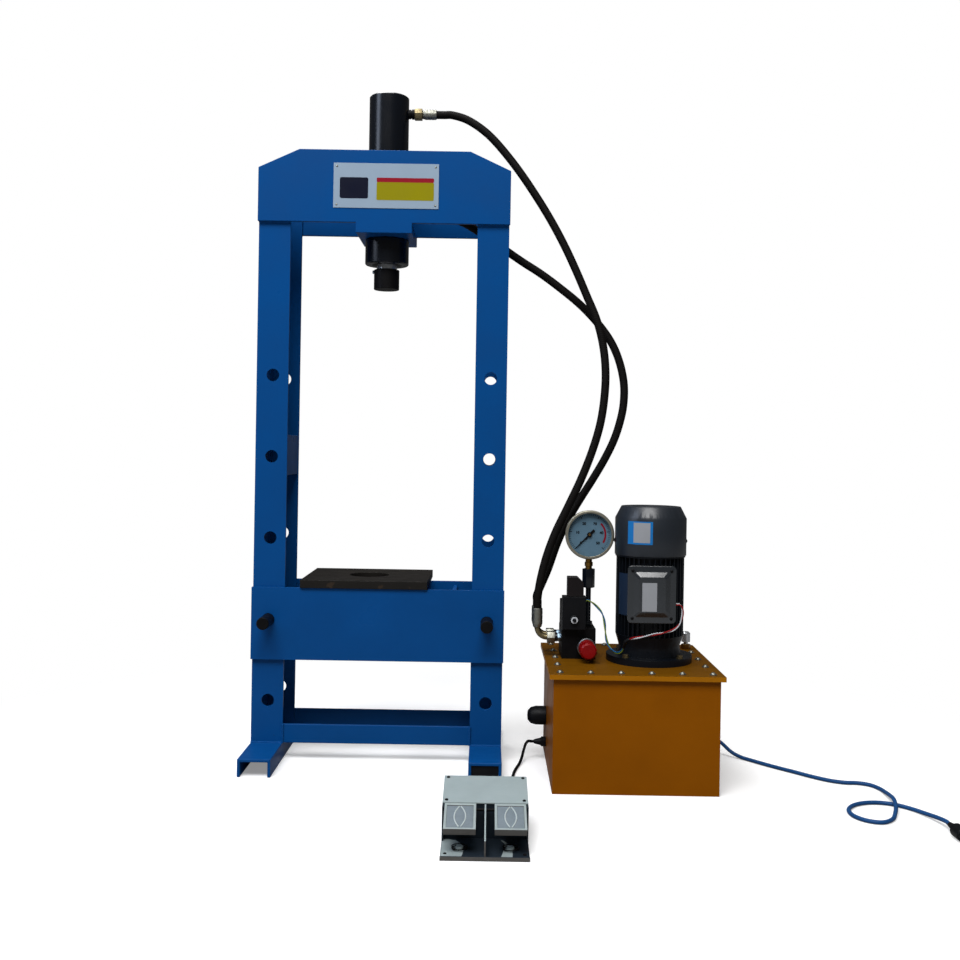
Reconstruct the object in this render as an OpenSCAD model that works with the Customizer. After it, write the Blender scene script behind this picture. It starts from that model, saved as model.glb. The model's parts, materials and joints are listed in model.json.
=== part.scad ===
// Two-column workshop hydraulic press with its electric power unit and double foot pedal.
// Sizes are millimetres. X runs along the crosshead, Y from front to back, Z up from the floor.
// Inside the modules x = 0 is the middle of the press and y = 0 the front face of its columns.

/* [Press frame] */
// Width of the crosshead and bed plates
frame_w = 620; // [580:5:680]
// Height of the top edge of the crosshead
frame_h = 1501; // [1460:1:1560]
// Thickness of the crosshead and bed plates
plate_t = 10; // [8:1:14]
// Width of a column's face
column_w = 78; // [70:1:90]
// Depth of a column, front to back
column_d = 172; // [160:1:190]
// Wall of the column channel
column_t = 7; // [5:0.5:9]
// How far the plates reach past the columns' outer faces
plate_over = 2; // [1:1:6]
// Height of the crosshead plates at the columns
crosshead_h = 178; // [160:1:200]
// Width of the crosshead's cut corner
corner_w = 100; // [70:1:120]
// Height of the crosshead's cut corner
corner_h = 46; // [30:1:60]
// Height of the columns' top ends below the crosshead's top edge
column_drop = 51; // [50:1:70]
// Width of the cylinder seat and of the tabs in front of it
seat_w = 138; // [130:1:170]
// Thickness of the cylinder seat
seat_t = 25; // [18:1:35]
// Diameter of the bed pin holes
pin_hole_d = 31; // [27:0.5:33]
// Distance between bed pin holes
hole_pitch = 200; // [170:1:205]
// Height of the lowest bed pin hole
hole_first_z = 146; // [130:1:150]
// Number of bed pin holes in each column flange
hole_count = 5; // [3:1:5]
// Distance of the pin holes from a column's inner edge
hole_inset = 38; // [32:1:44]
// Diameter of the hose hole in the right column's web
hose_hole_d = 44; // [40:1:60]
// Height of the batten plates inside the columns
batten_h = 100; // [80:1:140]
// Thickness of the batten plates
batten_t = 6; // [4:1:8]
// Height of the upper batten plates' lower edge
batten_z = 700; // [660:1:760]
// Setback of the batten plates from the columns' inner edges
batten_set = 1; // [0:1:8]
// Length of the feet
foot_l = 472; // [420:1:560]
// How far the feet reach in front of the columns
foot_front = 150; // [120:1:200]
// Height of the feet
foot_h = 42; // [34:1:60]
// Wall of the feet
foot_t = 7; // [5:0.5:9]
// Height of the tie bars between the columns
tie_h = 46; // [30:1:70]
// Thickness of the tie bars
tie_t = 8; // [6:1:12]

/* [Data plate] */
// Width of the data plate
label_w = 258; // [200:1:300]
// Height of the data plate
label_h = 110; // [80:1:120]
// Thickness of the data plate
label_t = 1.5; // [1:0.5:3]
// Offset of the data plate to the side
label_x = 4; // [-20:1:20]
// Height of the data plate above the crosshead's lower edge
label_rise = 35; // [20:1:50]

/* [Bed] */
// Height of the bed plates
bed_h = 177; // [150:1:190]
// Which pin hole carries the bed, counted from the lowest
bed_hole = 1; // [1:1:2]
// Height of the pins above the bed's lower edge
bed_pin_rise = 98; // [80:1:110]
// Distance of the spacer plates from the middle
spacer_x = 185; // [140:1:200]
// Thickness of the spacer plates
spacer_t = 10; // [6:1:16]
// Setback of the spacer plates from the bed's edges
spacer_set = 10; // [5:1:30]
// Diameter of the bed pins
pin_d = 30; // [25:0.5:30.6]
// How far a bed pin stands out in front
pin_front = 70; // [40:1:90]
// How far a bed pin stands out behind
pin_back = 20; // [10:1:40]
// Width of the press plate
slab_w = 312; // [280:1:360]
// Depth of the press plate
slab_d = 275; // [240:1:300]
// Thickness of the press plate
slab_t = 20; // [15:1:30]
// Diameter of the hole in the press plate
slab_hole_d = 100; // [60:1:140]
// Offset of the press plate to the side
slab_x = -35; // [-60:1:60]
// Offset of the press plate to the back of the ram's axis
slab_back = 36; // [0:1:40]

/* [Cylinder] */
// Outside diameter of the cylinder
cylinder_d = 100; // [95:1:115]
// Bore of the cylinder
bore_d = 75; // [66:1:80]
// Diameter of the threaded neck under the seat
neck_d = 90; // [88:1:94]
// Height of the cylinder above its seat
cylinder_h = 336; // [320:1:380]
// Thickness of the top cap
cap_t = 25; // [18:1:30]
// Height of the lock nut
nut_h = 64; // [40:1:70]
// Diameter of the lock nut
nut_d = 110; // [104:1:125]
// Diameter of the ram
ram_d = 51; // [40:1:56]
// Length of bare ram between the neck and the tip
ram_show = 12; // [4:1:30]
// Height of the piston
piston_h = 44; // [36:1:50]
// Room above the piston at rest
piston_room = 30; // [27:1:40]
// Height of the piston seal
seal_h = 8; // [5:1:12]
// Depth of the piston seal's groove
seal_depth = 5; // [3:0.5:7]
// Diameter of the ram tip
tip_d = 64; // [58:1:80]
// Height of the ram tip
tip_h = 50; // [40:1:70]
// Diameter of the spigot that holds the tip
spigot_d = 30; // [20:1:34]
// Depth of the spigot in the tip
spigot_h = 28; // [18:1:34]
// Distance of the upper port from the top of the cylinder
port_drop = 41; // [37:1:44]
// Height of the lower port above the seat
port_rise = 37; // [34:1:40]
// Diameter of a port's drilling
port_d = 10; // [6:1:12]
// How far the gland stands up inside the cylinder above the seat
gland_rise = 22; // [14:1:26]

/* [Tank] */
// Distance of the tank's left wall from the press's middle
unit_left = 420; // [410:1:480]
// Distance of the tank's middle from the columns' front face
unit_y = -41; // [-80:1:0]
// Width of the tank
tank_w = 376; // [370:1:420]
// Depth of the tank
tank_d = 392; // [380:1:440]
// Height of the tank
tank_h = 259; // [240:1:320]
// Wall of the tank
tank_t = 4; // [3:0.5:6]
// Width of the tank's inner rim under the lid
rim_w = 30; // [24:1:40]
// Overhang of the lid
lid_over = 10; // [6:1:16]
// Thickness of the lid
lid_t = 11; // [8:1:16]
// Diameter of a lid bolt's shank
bolt_d = 7; // [5:0.5:8]
// Diameter of a bolt head
bolt_head_d = 15; // [12:0.5:17]
// Height of a bolt head
bolt_head_h = 6; // [4:0.5:9]
// Thickness of a bolt's washer
washer_t = 1.6; // [1:0.2:2.4]
// How far a lid bolt reaches under the lid
bolt_end = 4; // [3:1:6]
// Lid bolts along the front and along the back
bolts_wide = 6; // [3:1:8]
// Lid bolts along each side, corners counted
bolts_deep = 5; // [3:1:8]
// Length of the cord glands
gland_l = 30; // [20:1:34]
// Diameter of the cord glands' nuts
gland_d = 22; // [18:1:26]
// Diameter of the side cap
side_cap_d = 46; // [30:1:60]
// Length of the side cap
side_cap_l = 47; // [30:1:50]
// Height of the side cap's axis
side_cap_z = 108; // [80:1:160]
// Distance of the side cap's axis from the tank's back wall
side_cap_back = 105; // [60:1:140]
// Distance of the breather from the tank's right and back walls
breather_set = [18, 46]; // [14:1:60]
// Height of the cord glands' axes
gland_z = [45, 50]; // [30:1:80]
// Distance of the cord glands from the tank's back wall
gland_back = [115, 55]; // [30:1:140]

/* [Motor] */
// Gap between the valve block and the motor's flange
flange_gap = 26.5; // [18:0.5:30]
// Distance of the motor's axis from the tank's middle, to the front
motor_y = -9; // [-20:1:10]
// Diameter of the motor's flange
flange_d = 205; // [195:1:210]
// Thickness of the motor's flange
flange_t = 16; // [12:1:20]
// Bolt circle of the motor's flange
flange_pcd = 180; // [178:1:185]
// Height of the flared end shield
shield_h = 49; // [40:1:60]
// Diameter of the finned housing over its fins
housing_d = 162; // [155:1:166]
// Diameter of the housing at the foot of its fins
barrel_d = 146; // [140:1:150]
// Bore of the housing
stator_d = 122; // [116:1:126]
// Height of the finned housing
housing_h = 200; // [180:1:230]
// Number of cooling fins
fin_count = 40; // [24:1:48]
// Thickness of a cooling fin
fin_t = 2.6; // [2:0.1:4]
// Diameter of the fan cowl
cowl_d = 171; // [168:1:178]
// Height of the fan cowl
cowl_h = 116; // [100:1:130]
// Wall of the fan cowl
cowl_t = 2; // [1.5:0.1:3]
// Height of the cowl's sloped shoulder
cowl_slope_h = 28; // [15:1:35]
// Diameter of the cowl's top
cowl_top_d = 142; // [130:1:150]
// Diameter of the motor's shaft
shaft_d = 24; // [19:1:28]
// Outside diameter of the motor's bearings
bearing_d = 52; // [46:1:60]
// Height of a motor bearing
bearing_h = 14; // [10:1:16]
// Diameter of the rotor core
rotor_d = 78; // [70:1:84]
// Diameter of the fan
fan_d = 138; // [110:1:146]
// Number of fan blades
fan_blades = 8; // [5:1:12]
// Width of the terminal box
terminal_w = 112; // [90:1:130]
// Height of the terminal box
terminal_h = 132; // [100:1:140]
// Depth of the terminal box in front of the fins
terminal_d = 44; // [30:1:60]
// Height of the terminal box's middle above the lid
terminal_z = 172; // [150:1:190]
// Offset of the terminal box to the side
terminal_x = -12; // [-20:1:20]

/* [Pump] */
// Diameter of the pump bracket
bracket_d = 110; // [100:1:130]
// Height of the pump bracket
bracket_h = 96; // [80:1:110]
// Wall of the pump bracket
bracket_t = 10; // [6:1:14]
// Diameter of the pump
pump_d = 90; // [70:1:110]
// Share of the height under the bracket that the pump takes
pump_share = 0.635; // [0.55:0.005:0.7]
// Diameter of the pump's shaft
pump_shaft_d = 16; // [12:1:20]
// Diameter of the coupling
coupling_d = 50; // [40:1:60]
// Height of the coupling
coupling_h = 54; // [40:1:60]
// Diameter of the suction strainer
strainer_d = 70; // [50:1:80]
// Height of the strainer's neck
strainer_neck_h = 14; // [8:1:20]
// Gap under the suction strainer
strainer_gap = 19; // [10:1:30]

/* [Valve block] */
// Distance of the block's left side from the tank's left wall
block_inset = 29; // [26:1:34]
// Distance of the block's front from the tank's middle
block_y = -13; // [-20:1:0]
// Width of the block
block_w = 82; // [80:1:86]
// Depth of the block
block_d = 100; // [96:1:130]
// Height of the block
block_h = 73; // [66:1:90]
// Width of the valve
valve_w = 56; // [50:1:58]
// Depth of the valve body
valve_d = 72; // [60:1:80]
// Height of the valve body
valve_h = 62; // [50:1:70]
// Setback of the valve body from the block's front
valve_set = 16; // [10:1:20]
// Height of the solenoid coil
coil_h = 79; // [70:1:85]
// Depth of the solenoid coil
coil_d = 36; // [30:1:44]
// Width of the valve connector
connector_w = 39; // [30:1:46]
// Height of the valve connector
connector_h = 47; // [34:1:56]
// Diameter of the override button's collar
override_d = 20; // [17:1:24]
// Diameter of the override button
button_d = 9; // [6:0.5:12]
// Travel of the override button
button_travel = 4; // [2:0.5:5]
// Height of the override button above the block
button_rise = 24; // [20:1:30]
// Diameter of the relief knob
knob_d = 40; // [30:1:46]
// Length of the relief knob
knob_l = 48; // [36:1:60]
// Length of the relief valve's collar
collar_l = 22; // [14:1:30]
// Width across the flats of the relief valve's collar
collar_af = 30; // [24:1:36]
// Diameter of the relief valve's stem
stem_d = 14; // [10:1:18]
// Distance of the relief valve from the block's right side
knob_set = 23; // [22:1:30]
// Height of the relief valve above the lid
knob_rise = 30; // [26:1:36]
// Number of grip grooves round the relief knob
knob_grips = 12; // [8:1:16]
// Height of the side fittings above the lid
fitting_rise = 48; // [30:1:50]
// Distance between the two side fittings
fitting_gap = 45; // [40:1:60]
// Setback of the first side fitting from the block's front
fitting_set = 24; // [20:1:30]
// Outside diameter of the hoses
hose_d = 20; // [18:1:22]
// Diameter of the hose ferrules
ferrule_d = 25; // [24:1:28]
// Length of the hose ferrules
ferrule_l = 38; // [30:1:46]
// Width across the flats of the hose nuts
hose_nut_af = 27; // [22:1:30]

/* [Gauge] */
// Diameter of the gauge
gauge_d = 120; // [100:1:122]
// Depth of the gauge
gauge_depth = 40; // [30:1:44]
// Height of the gauge's middle above the block
gauge_rise = 224; // [210:1:240]
// Wall of the gauge case
gauge_t = 3; // [2:0.5:4]
// Distance of the gauge's axis from the block's right side
gauge_set = 15; // [14:1:22]
// Width of the gauge's bezel
bezel_w = 7; // [5:0.5:10]
// Thickness of the gauge's dial
dial_t = 2; // [1:0.5:3]
// Depth of the dial behind the front of the gauge
dial_set = 12; // [10:0.5:16]
// Thickness of the gauge's glass
glass_t = 3; // [2:0.5:4]
// Length of the gauge's needle
needle_l = 44; // [30:1:46]
// Diameter of the gauge's pipe
pipe_d = 12; // [8:1:14]
// Diameter of the coupling under the gauge
joint_d = 30; // [22:1:34]
// Length of the coupling under the gauge
joint_l = 44; // [30:1:50]
// Height of the coupling above the block
joint_rise = 95; // [70:1:100]
// Diameter of the gauge's brass stem
gauge_stem_d = 16; // [12:1:18]

/* [Foot pedal] */
// Distance of the pedal's middle from the press's middle
pedal_x = 270; // [240:1:290]
// Distance of the pedal's middle in front of the columns
pedal_y = -534; // [-600:1:-500]
// Width of the pedal base
pedal_w = 170; // [165:1:200]
// Depth of the pedal base
pedal_d = 228; // [220:1:260]
// Thickness of the pedal's sheet metal
sheet_t = 3; // [2:0.5:4]
// Depth of the switch housing
housing_depth = 114; // [100:1:120]
// Height of the switch housing at its front
cover_low = 72; // [66:1:80]
// Height of the switch housing at its back
cover_high = 90; // [82:1:100]
// Width of each pedal
tread_w = 62; // [50:1:64]
// Length of each pedal in front of its axle
tread_l = 84; // [70:1:88]
// Thickness of each pedal
tread_t = 10; // [8:1:14]
// Slope of each pedal at rest
tread_tilt = 15; // [8:1:18]
// Distance of each pedal's middle from the middle of the base
tread_x = 49; // [46:1:50]
// Height of the pedals' axle
axle_z = 63; // [60:1:64]
// Diameter of the pedals' axle
axle_d = 6; // [5:0.5:8]
// Diameter of the pedals' hubs
hub_d = 16; // [13:0.5:18]

/* [Clearances] */
// Radial clearance of a running fit
run_fit = 0.05; // [0.02:0.01:0.1]
// Gap between pieces that pass each other
gap = 0.4; // [0.3:0.05:0.6]

/* [Hidden] */
$fn = 64;

// Places worked out from the driving sizes
inner_x = frame_w / 2 - plate_over - column_w;
outer_x = frame_w / 2 - plate_over;
pin_x = inner_x + hole_inset;
cylinder_y = column_d / 2;
crosshead_z = frame_h - crosshead_h;
seat_z = crosshead_z - seat_t;
bed_pin_z = hole_first_z + bed_hole * hole_pitch;
bed_z = bed_pin_z - bed_pin_rise;
bed_top = bed_z + bed_h;
cylinder_top = crosshead_z + cylinder_h;
neck_z = seat_z - nut_h;
tip_top = neck_z - ram_show;
tip_bottom = tip_top - tip_h;
upper_port_z = cylinder_top - port_drop;
lower_port_z = crosshead_z + port_rise;
piston_top = cylinder_top - cap_t - piston_room;
seal_z = piston_top - piston_h / 2 - seal_h / 2;
lid_z = tank_h + lid_t;
unit_x = unit_left + tank_w / 2;
tank_right = unit_left + tank_w;
block_left = unit_left + block_inset;
block_right = block_left + block_w;
motor_x = block_right + flange_gap + flange_d / 2 - unit_x;
motor_axis = [unit_x + motor_x, unit_y + motor_y];
shield_z = lid_z + flange_t;
housing_z = shield_z + shield_h;
housing_top = housing_z + housing_h;
end_plate_t = 14;
lower_bearing_z = shield_z + 6;
upper_bearing_z = housing_top - end_plate_t;
cowl_overlap = 10;
cowl_z = housing_top - cowl_overlap;
pump_room = tank_h - tank_t - bracket_h - strainer_neck_h - strainer_gap;
pump_h = pump_room * pump_share;
strainer_h = pump_room - pump_h;
lid_hole_d = coupling_d + 30;
coupling_z = tank_h - bracket_h + 22;
shaft_end_z = coupling_z + coupling_h / 2 + 1;
block_front = unit_y + block_y;
block_top = lid_z + block_h;
valve_front = block_front + valve_set;
valve_mid_x = block_left + valve_w / 2;
coil_front = valve_front - coil_d;
button_z = block_top + button_rise;
fitting_z = lid_z + fitting_rise;
fitting_y = block_front + fitting_set;
elbow_r = 24;
elbow_tube_d = 14;
adapter_l = 15;
adapter_d = 21;
saddle = 2;
ferrule_neck = 8;
hose_nut_l = 19;
elbow_x = block_left - adapter_l - hose_nut_l - elbow_r;
stem_in = 26;
knob_x = block_right - knob_set;
knob_z = lid_z + knob_rise;
gauge_x = block_right - gauge_set;
gauge_y = block_front + block_d / 2 - 1;
gauge_z = block_top + gauge_rise;
gauge_front = gauge_y - gauge_depth / 2;
joint_z = block_top + joint_rise;
terminal_back = motor_axis[1] - barrel_d / 2 + 4;
terminal_front = motor_axis[1] - housing_d / 2 - terminal_d;
terminal_mid_x = motor_axis[0] + terminal_x;
terminal_mid_z = lid_z + terminal_z;
panel_rise = 8;
cover_t = 8;
cover_y = terminal_front + panel_rise + cover_t;
pedal_front = pedal_y - pedal_d / 2;
pedal_back = pedal_y + pedal_d / 2;
wall_y = pedal_back - housing_depth;
axle_y = wall_y - hub_d / 2 - 3;
ear_w = 3;
cover_slope = (cover_high - cover_low) / housing_depth;

// The origin is on the floor under the middle of the machine
x_span = [-frame_w / 2, tank_right + gland_l];
y_span = [pedal_front, foot_l - foot_front];
origin = [(x_span[0] + x_span[1]) / 2, (y_span[0] + y_span[1]) / 2, 0];

// Cord routes, from the object outwards. Each goes with the pieces at its ends.
function moved(route, start) = [for (p = route) p + start - route[0]];
function tied(route, start, end) =
    let (n = len(route) - 1, from = start - route[0], to = end - route[n])
    [for (i = [0 : n]) route[i] + from * (1 - i / n) + to * i / n];

hose_start_x = cylinder_d / 2 - saddle + adapter_l + hose_nut_l + ferrule_l;
hose_end_z = fitting_z + elbow_r + ferrule_neck + ferrule_l;
pressure_route = tied([
    [120, 86, 1618], [140, 86, 1618], [160, 86, 1618], [195, 82, 1607], [230, 76, 1585],
    [262, 71, 1557], [298, 66, 1516], [336, 60, 1466], [374, 55, 1410], [410, 50, 1352],
    [444, 45, 1290], [475, 40, 1225], [504, 35, 1158], [530, 28, 1095], [546, 22, 1030],
    [552, 16, 965], [549, 10, 900], [539, 4, 836], [520, 0, 770], [493, -5, 700],
    [462, -10, 633], [433, -16, 572], [412, -22, 515], [398, -27, 460], [391, -30, 416],
    [391, -30, 402], [391, -30, 388]
], [hose_start_x, cylinder_y, upper_port_z], [elbow_x, fitting_y, hose_end_z]);
return_route = tied([
    [120, 86, 1360], [135, 86, 1360], [150, 86, 1360], [190, 86, 1347], [228, 86, 1326],
    [268, 86, 1300], [306, 86, 1274], [345, 86, 1248], [390, 86, 1220], [435, 86, 1188],
    [490, 84, 1144], [535, 82, 1098], [570, 78, 1050], [592, 74, 1000], [604, 70, 945],
    [604, 66, 895], [596, 62, 850], [580, 58, 800], [556, 54, 750], [527, 50, 700],
    [496, 46, 650], [466, 41, 598], [440, 34, 540], [419, 26, 480], [402, 18, 440],
    [391, 15, 414], [391, 15, 401], [391, 15, 388]
], [hose_start_x, cylinder_y, lower_port_z], [elbow_x, fitting_y + fitting_gap, hose_end_z]);
web_step = 6;
pedal_cord_d = 7;
pedal_cord_side = 48;
pedal_cord_z = 14;
pedal_route = tied([
    [318, -390, 14], [318, -381, 14], [318, -372, 14], [319, -348, 8], [321, -325, 4],
    [324, -280, 4], [327, -230, 4], [330, -180, 4], [334, -130, 4], [339, -85, 4],
    [346, -48, 4], [354, -15, 6], [360, 8, 14], [365, 26, 27], [370, 36, 39], [376, 40, 45],
    [383, 40, 45], [390, 40, 45]
], [pedal_x + pedal_cord_side, pedal_back + gland_l, pedal_cord_z],
    [unit_left - gland_l, unit_y + tank_d / 2 - gland_back[0], gland_z[0]]);
mains_cord_d = 9;
mains_route = moved([
    [826, 100, 50], [834, 100, 50], [842, 100, 50], [868, 96, 36], [893, 84, 15], [915, 68, 6],
    [940, 38, 5], [964, 8, 5], [990, -22, 5], [1016, -50, 5], [1048, -86, 5], [1080, -115, 5],
    [1112, -130, 5], [1142, -132, 5], [1166, -146, 5], [1178, -172, 5], [1180, -205, 7],
    [1177, -240, 11], [1171, -280, 15], [1162, -318, 11], [1148, -352, 7], [1130, -385, 5],
    [1102, -406, 5], [1072, -396, 5], [1054, -366, 5], [1056, -328, 5], [1078, -296, 5],
    [1110, -278, 5], [1144, -276, 5], [1174, -290, 5], [1198, -316, 5], [1214, -352, 7],
    [1224, -390, 11], [1228, -420, 14], [1228, -430, 14], [1228, -440, 14]
], [tank_right + gland_l, unit_y + tank_d / 2 - gland_back[1], gland_z[1]]);
lead_d = 6;
motor_lead_rise = 150;
motor_lead_route = moved([
    [704, -163, 420], [708, -163, 420], [712, -163, 420], [718, -163, 414], [720, -164, 402],
    [718, -165, 388], [712, -167, 374], [698, -169, 362], [676, -170, 355], [654, -170, 351],
    [638, -169, 347], [624, -167, 344], [610, -164, 341], [600, -159, 337], [592, -155, 332]
], [terminal_mid_x + terminal_w / 2, cover_y - cover_t / 2, lid_z + motor_lead_rise]);
valve_lead_rise = 69;
splice_gap = [-3, 6, -9];
valve_lead_route = tied([
    [505, -56, 412], [508, -56, 412], [511, -56, 412], [521, -60, 407], [532, -66, 398],
    [542, -74, 386], [547, -82, 372], [549, -89, 356], [550, -95, 340], [552, -101, 325],
    [557, -108, 312], [565, -116, 303], [574, -125, 299], [583, -135, 304], [587, -143, 314],
    [589, -149, 323]
], [block_left + valve_w, coil_front + coil_d / 2, block_top + valve_lead_rise],
    motor_lead_route[len(motor_lead_route) - 1] + splice_gap);

// Shared shapes

module place() {
    translate(-origin) children();
}

module rod_x(d, x0, x1) {
    translate([x0, 0, 0]) rotate([0, 90, 0]) cylinder(d = d, h = x1 - x0);
}

module rod_y(d, y0, y1) {
    translate([0, y1, 0]) rotate([90, 0, 0]) cylinder(d = d, h = y1 - y0);
}

module hex_x(af, x0, x1) {
    translate([x0, 0, 0]) rotate([0, 90, 0]) cylinder(d = af / cos(30), h = x1 - x0, $fn = 6);
}

module ring(outer, inner, h) {
    difference() {
        cylinder(d = outer, h = h);
        translate([0, 0, -1]) cylinder(d = inner, h = h + 2);
    }
}

module box(low, high) {
    translate(low) cube(high - low);
}

module chamfered(w, h, c) {
    x = w / 2;
    z = h / 2;
    polygon([
        [c - x, -z], [x - c, -z], [x, c - z], [x, z - c], [x - c, z], [c - x, z], [-x, z - c], [-x, c - z]
    ]);
}

module facing_y(y0, y1) {
    translate([0, y1, 0]) rotate([90, 0, 0]) linear_extrude(y1 - y0) children();
}

// A round cord swept along its route
function unit(v) = v / norm(v);
function bend(p, i, t) =
    let (
        a = p[max(i - 1, 0)],
        b = p[i],
        c = p[i + 1],
        d = p[min(i + 2, len(p) - 1)]
    )
    (2 * b + (c - a) * t + (2 * a - 5 * b + 4 * c - d) * t * t
        + (3 * b - a - 3 * c + d) * t * t * t) / 2;
function rings(p) = [for (i = [0 : len(p) - 2]) for (t = [0, 0.5]) bend(p, i, t), p[len(p) - 1]];
function heading(p, i) = unit(p[min(i + 1, len(p) - 1)] - p[max(i - 1, 0)]);

module cord(route, d, sides, across) {
    path = rings(route);
    count = len(path);
    points = [
        for (i = [0 : count - 1])
            let (t = heading(path, i), u = unit(cross(across, t)), w = cross(t, u))
            for (s = [0 : sides - 1])
                path[i] + d / 2 * (cos(360 * s / sides) * u + sin(360 * s / sides) * w)
    ];
    skin = [
        for (i = [0 : count - 2])
            for (s = [0 : sides - 1])
                let (n = (s + 1) % sides, a = i * sides, b = a + sides)
                each [[a + s, b + s, b + n], [a + s, b + n, a + n]]
    ];
    first = [for (s = [0 : sides - 1]) s];
    last = [for (s = [0 : sides - 1]) count * sides - 1 - s];
    polyhedron(points = points, faces = concat([first], skin, [last]));
}

// Press frame

module column_profile() {
    difference() {
        square([column_w, column_d]);
        translate([-1, column_t]) square([column_w - column_t + 1, column_d - 2 * column_t]);
    }
}

module column() {
    difference() {
        translate([inner_x, 0, foot_h])
            linear_extrude(frame_h - column_drop - foot_h) column_profile();
        for (i = [0 : hole_count - 1])
            translate([pin_x, 0, hole_first_z + i * hole_pitch])
                rod_y(pin_hole_d, -1, column_d + 1);
    }
}

module left_column() {
    color("#0b4a82") place() mirror([1, 0, 0]) column();
}

module right_column() {
    color("#0b4a82") place() difference() {
        column();
        translate([0, cylinder_y, return_route[web_step][2]])
            rod_x(hose_hole_d, outer_x - column_t - 1, outer_x + 1);
    }
}

module crosshead_outline() {
    half = frame_w / 2;
    polygon([
        [-half, 0], [-seat_w / 2, 0], [-seat_w / 2, -seat_t], [seat_w / 2, -seat_t],
        [seat_w / 2, 0], [half, 0], [half, crosshead_h - corner_h],
        [half - corner_w, crosshead_h], [corner_w - half, crosshead_h],
        [-half, crosshead_h - corner_h]
    ]);
}

module crosshead() {
    color("#0b4a82") place() difference() {
        union() {
            for (y = [0, column_d + plate_t])
                translate([0, y, crosshead_z])
                    rotate([90, 0, 0]) linear_extrude(plate_t) crosshead_outline();
            box([-seat_w / 2, 0, seat_z], [seat_w / 2, column_d, crosshead_z]);
        }
        translate([0, cylinder_y, seat_z - 1]) cylinder(d = neck_d + 2 * run_fit, h = seat_t + 2);
    }
}

module feet() {
    color("#0b4a82") place()
        for (side = [0, 1])
            mirror([side, 0, 0]) difference() {
                box([inner_x, -foot_front, 0], [outer_x, foot_l - foot_front, foot_h]);
                box([inner_x + foot_t, -foot_front - 1, -1],
                    [outer_x - foot_t, foot_l - foot_front + 1, foot_h - foot_t]);
            }
}

module tie_plates() {
    color("#0b4a82") place() {
        for (y = [0, column_d - tie_t])
            box([-inner_x, y, foot_h], [inner_x, y + tie_t, foot_h + tie_h]);
        for (side = [0, 1])
            mirror([side, 0, 0])
                box([inner_x + batten_set, column_t, batten_z],
                    [inner_x + batten_set + batten_t, column_d - column_t, batten_z + batten_h]);
    }
}

module bed() {
    half = frame_w / 2;
    color("#0b4a82") place() difference() {
        union() {
            for (y = [-plate_t, column_d])
                box([-half, y, bed_z], [half, y + plate_t, bed_top]);
            for (x = [-spacer_x, spacer_x])
                box([x - spacer_t / 2, 0, bed_z + spacer_set],
                    [x + spacer_t / 2, column_d, bed_top - spacer_set]);
        }
        for (x = [-pin_x, pin_x])
            translate([x, 0, bed_pin_z]) rod_y(pin_hole_d, -plate_t - 1, column_d + plate_t + 1);
    }
}

module press_plate() {
    color("#26231f") place()
        translate([slab_x, cylinder_y + slab_back, bed_top]) difference() {
            translate([-slab_w / 2, -slab_d / 2, 0]) cube([slab_w, slab_d, slab_t]);
            translate([0, 0, -1]) cylinder(d = slab_hole_d, h = slab_t + 2);
        }
}

module bed_pin(x) {
    color("#1c1c20") place()
        translate([x, 0, bed_pin_z])
            rod_y(pin_d, -plate_t - pin_front, column_d + plate_t + pin_back);
}

module bed_pin_left() {
    bed_pin(-pin_x);
}

module bed_pin_right() {
    bed_pin(pin_x);
}

// Cylinder and ram

module on_axis() {
    place() translate([0, cylinder_y, 0]) children();
}

module cylinder_tube() {
    color("#18181b") on_axis() difference() {
        union() {
            translate([0, 0, crosshead_z]) cylinder(d = cylinder_d, h = cylinder_h);
            translate([0, 0, neck_z]) cylinder(d = neck_d, h = seat_t + nut_h + 1);
        }
        translate([0, 0, neck_z - 1]) cylinder(d = bore_d, h = cylinder_top - neck_z + 2);
        for (z = [lower_port_z, upper_port_z])
            translate([0, 0, z]) rod_x(port_d, 0, cylinder_d);
    }
}

module cylinder_cap() {
    color("#18181b") on_axis()
        translate([0, 0, cylinder_top - cap_t]) cylinder(d = bore_d - 2 * run_fit, h = cap_t);
}

module cylinder_gland() {
    color("#b08a3c") on_axis()
        translate([0, 0, neck_z])
            ring(bore_d - 2 * run_fit, ram_d + 2 * run_fit, nut_h + seat_t + gland_rise);
}

module lock_nut() {
    color("#18181b") on_axis()
        translate([0, 0, neck_z]) ring(nut_d, neck_d + 2 * run_fit, nut_h);
}

module ram() {
    rod_bottom = tip_top;
    color("#c9ccd0") on_axis() difference() {
        union() {
            translate([0, 0, rod_bottom - spigot_h]) cylinder(d = spigot_d, h = spigot_h + 1);
            translate([0, 0, rod_bottom]) cylinder(d = ram_d, h = piston_top - rod_bottom);
            translate([0, 0, piston_top - piston_h])
                cylinder(d = bore_d - 2 * run_fit, h = piston_h);
        }
        translate([0, 0, seal_z]) ring(bore_d + 2, bore_d - 2 * seal_depth, seal_h);
    }
}

module piston_seal() {
    color("#303030") on_axis()
        translate([0, 0, seal_z + run_fit])
            ring(bore_d - 2 * run_fit, bore_d - 2 * seal_depth + 2 * run_fit, seal_h - 2 * run_fit);
}

module ram_tip() {
    color("#1d1d20") on_axis() difference() {
        translate([0, 0, tip_bottom]) cylinder(d = tip_d, h = tip_h);
        translate([0, 0, tip_top - spigot_h - run_fit])
            cylinder(d = spigot_d + 2 * run_fit, h = spigot_h + 1);
    }
}

module straight_fitting() {
    nut_x = cylinder_d / 2 - saddle + adapter_l;
    ferrule_x = nut_x + hose_nut_l;
    rod_x(adapter_d, cylinder_d / 2 - saddle, nut_x);
    hex_x(hose_nut_af, nut_x, ferrule_x);
    rod_x(ferrule_d, ferrule_x, ferrule_x + ferrule_l);
}

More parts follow.
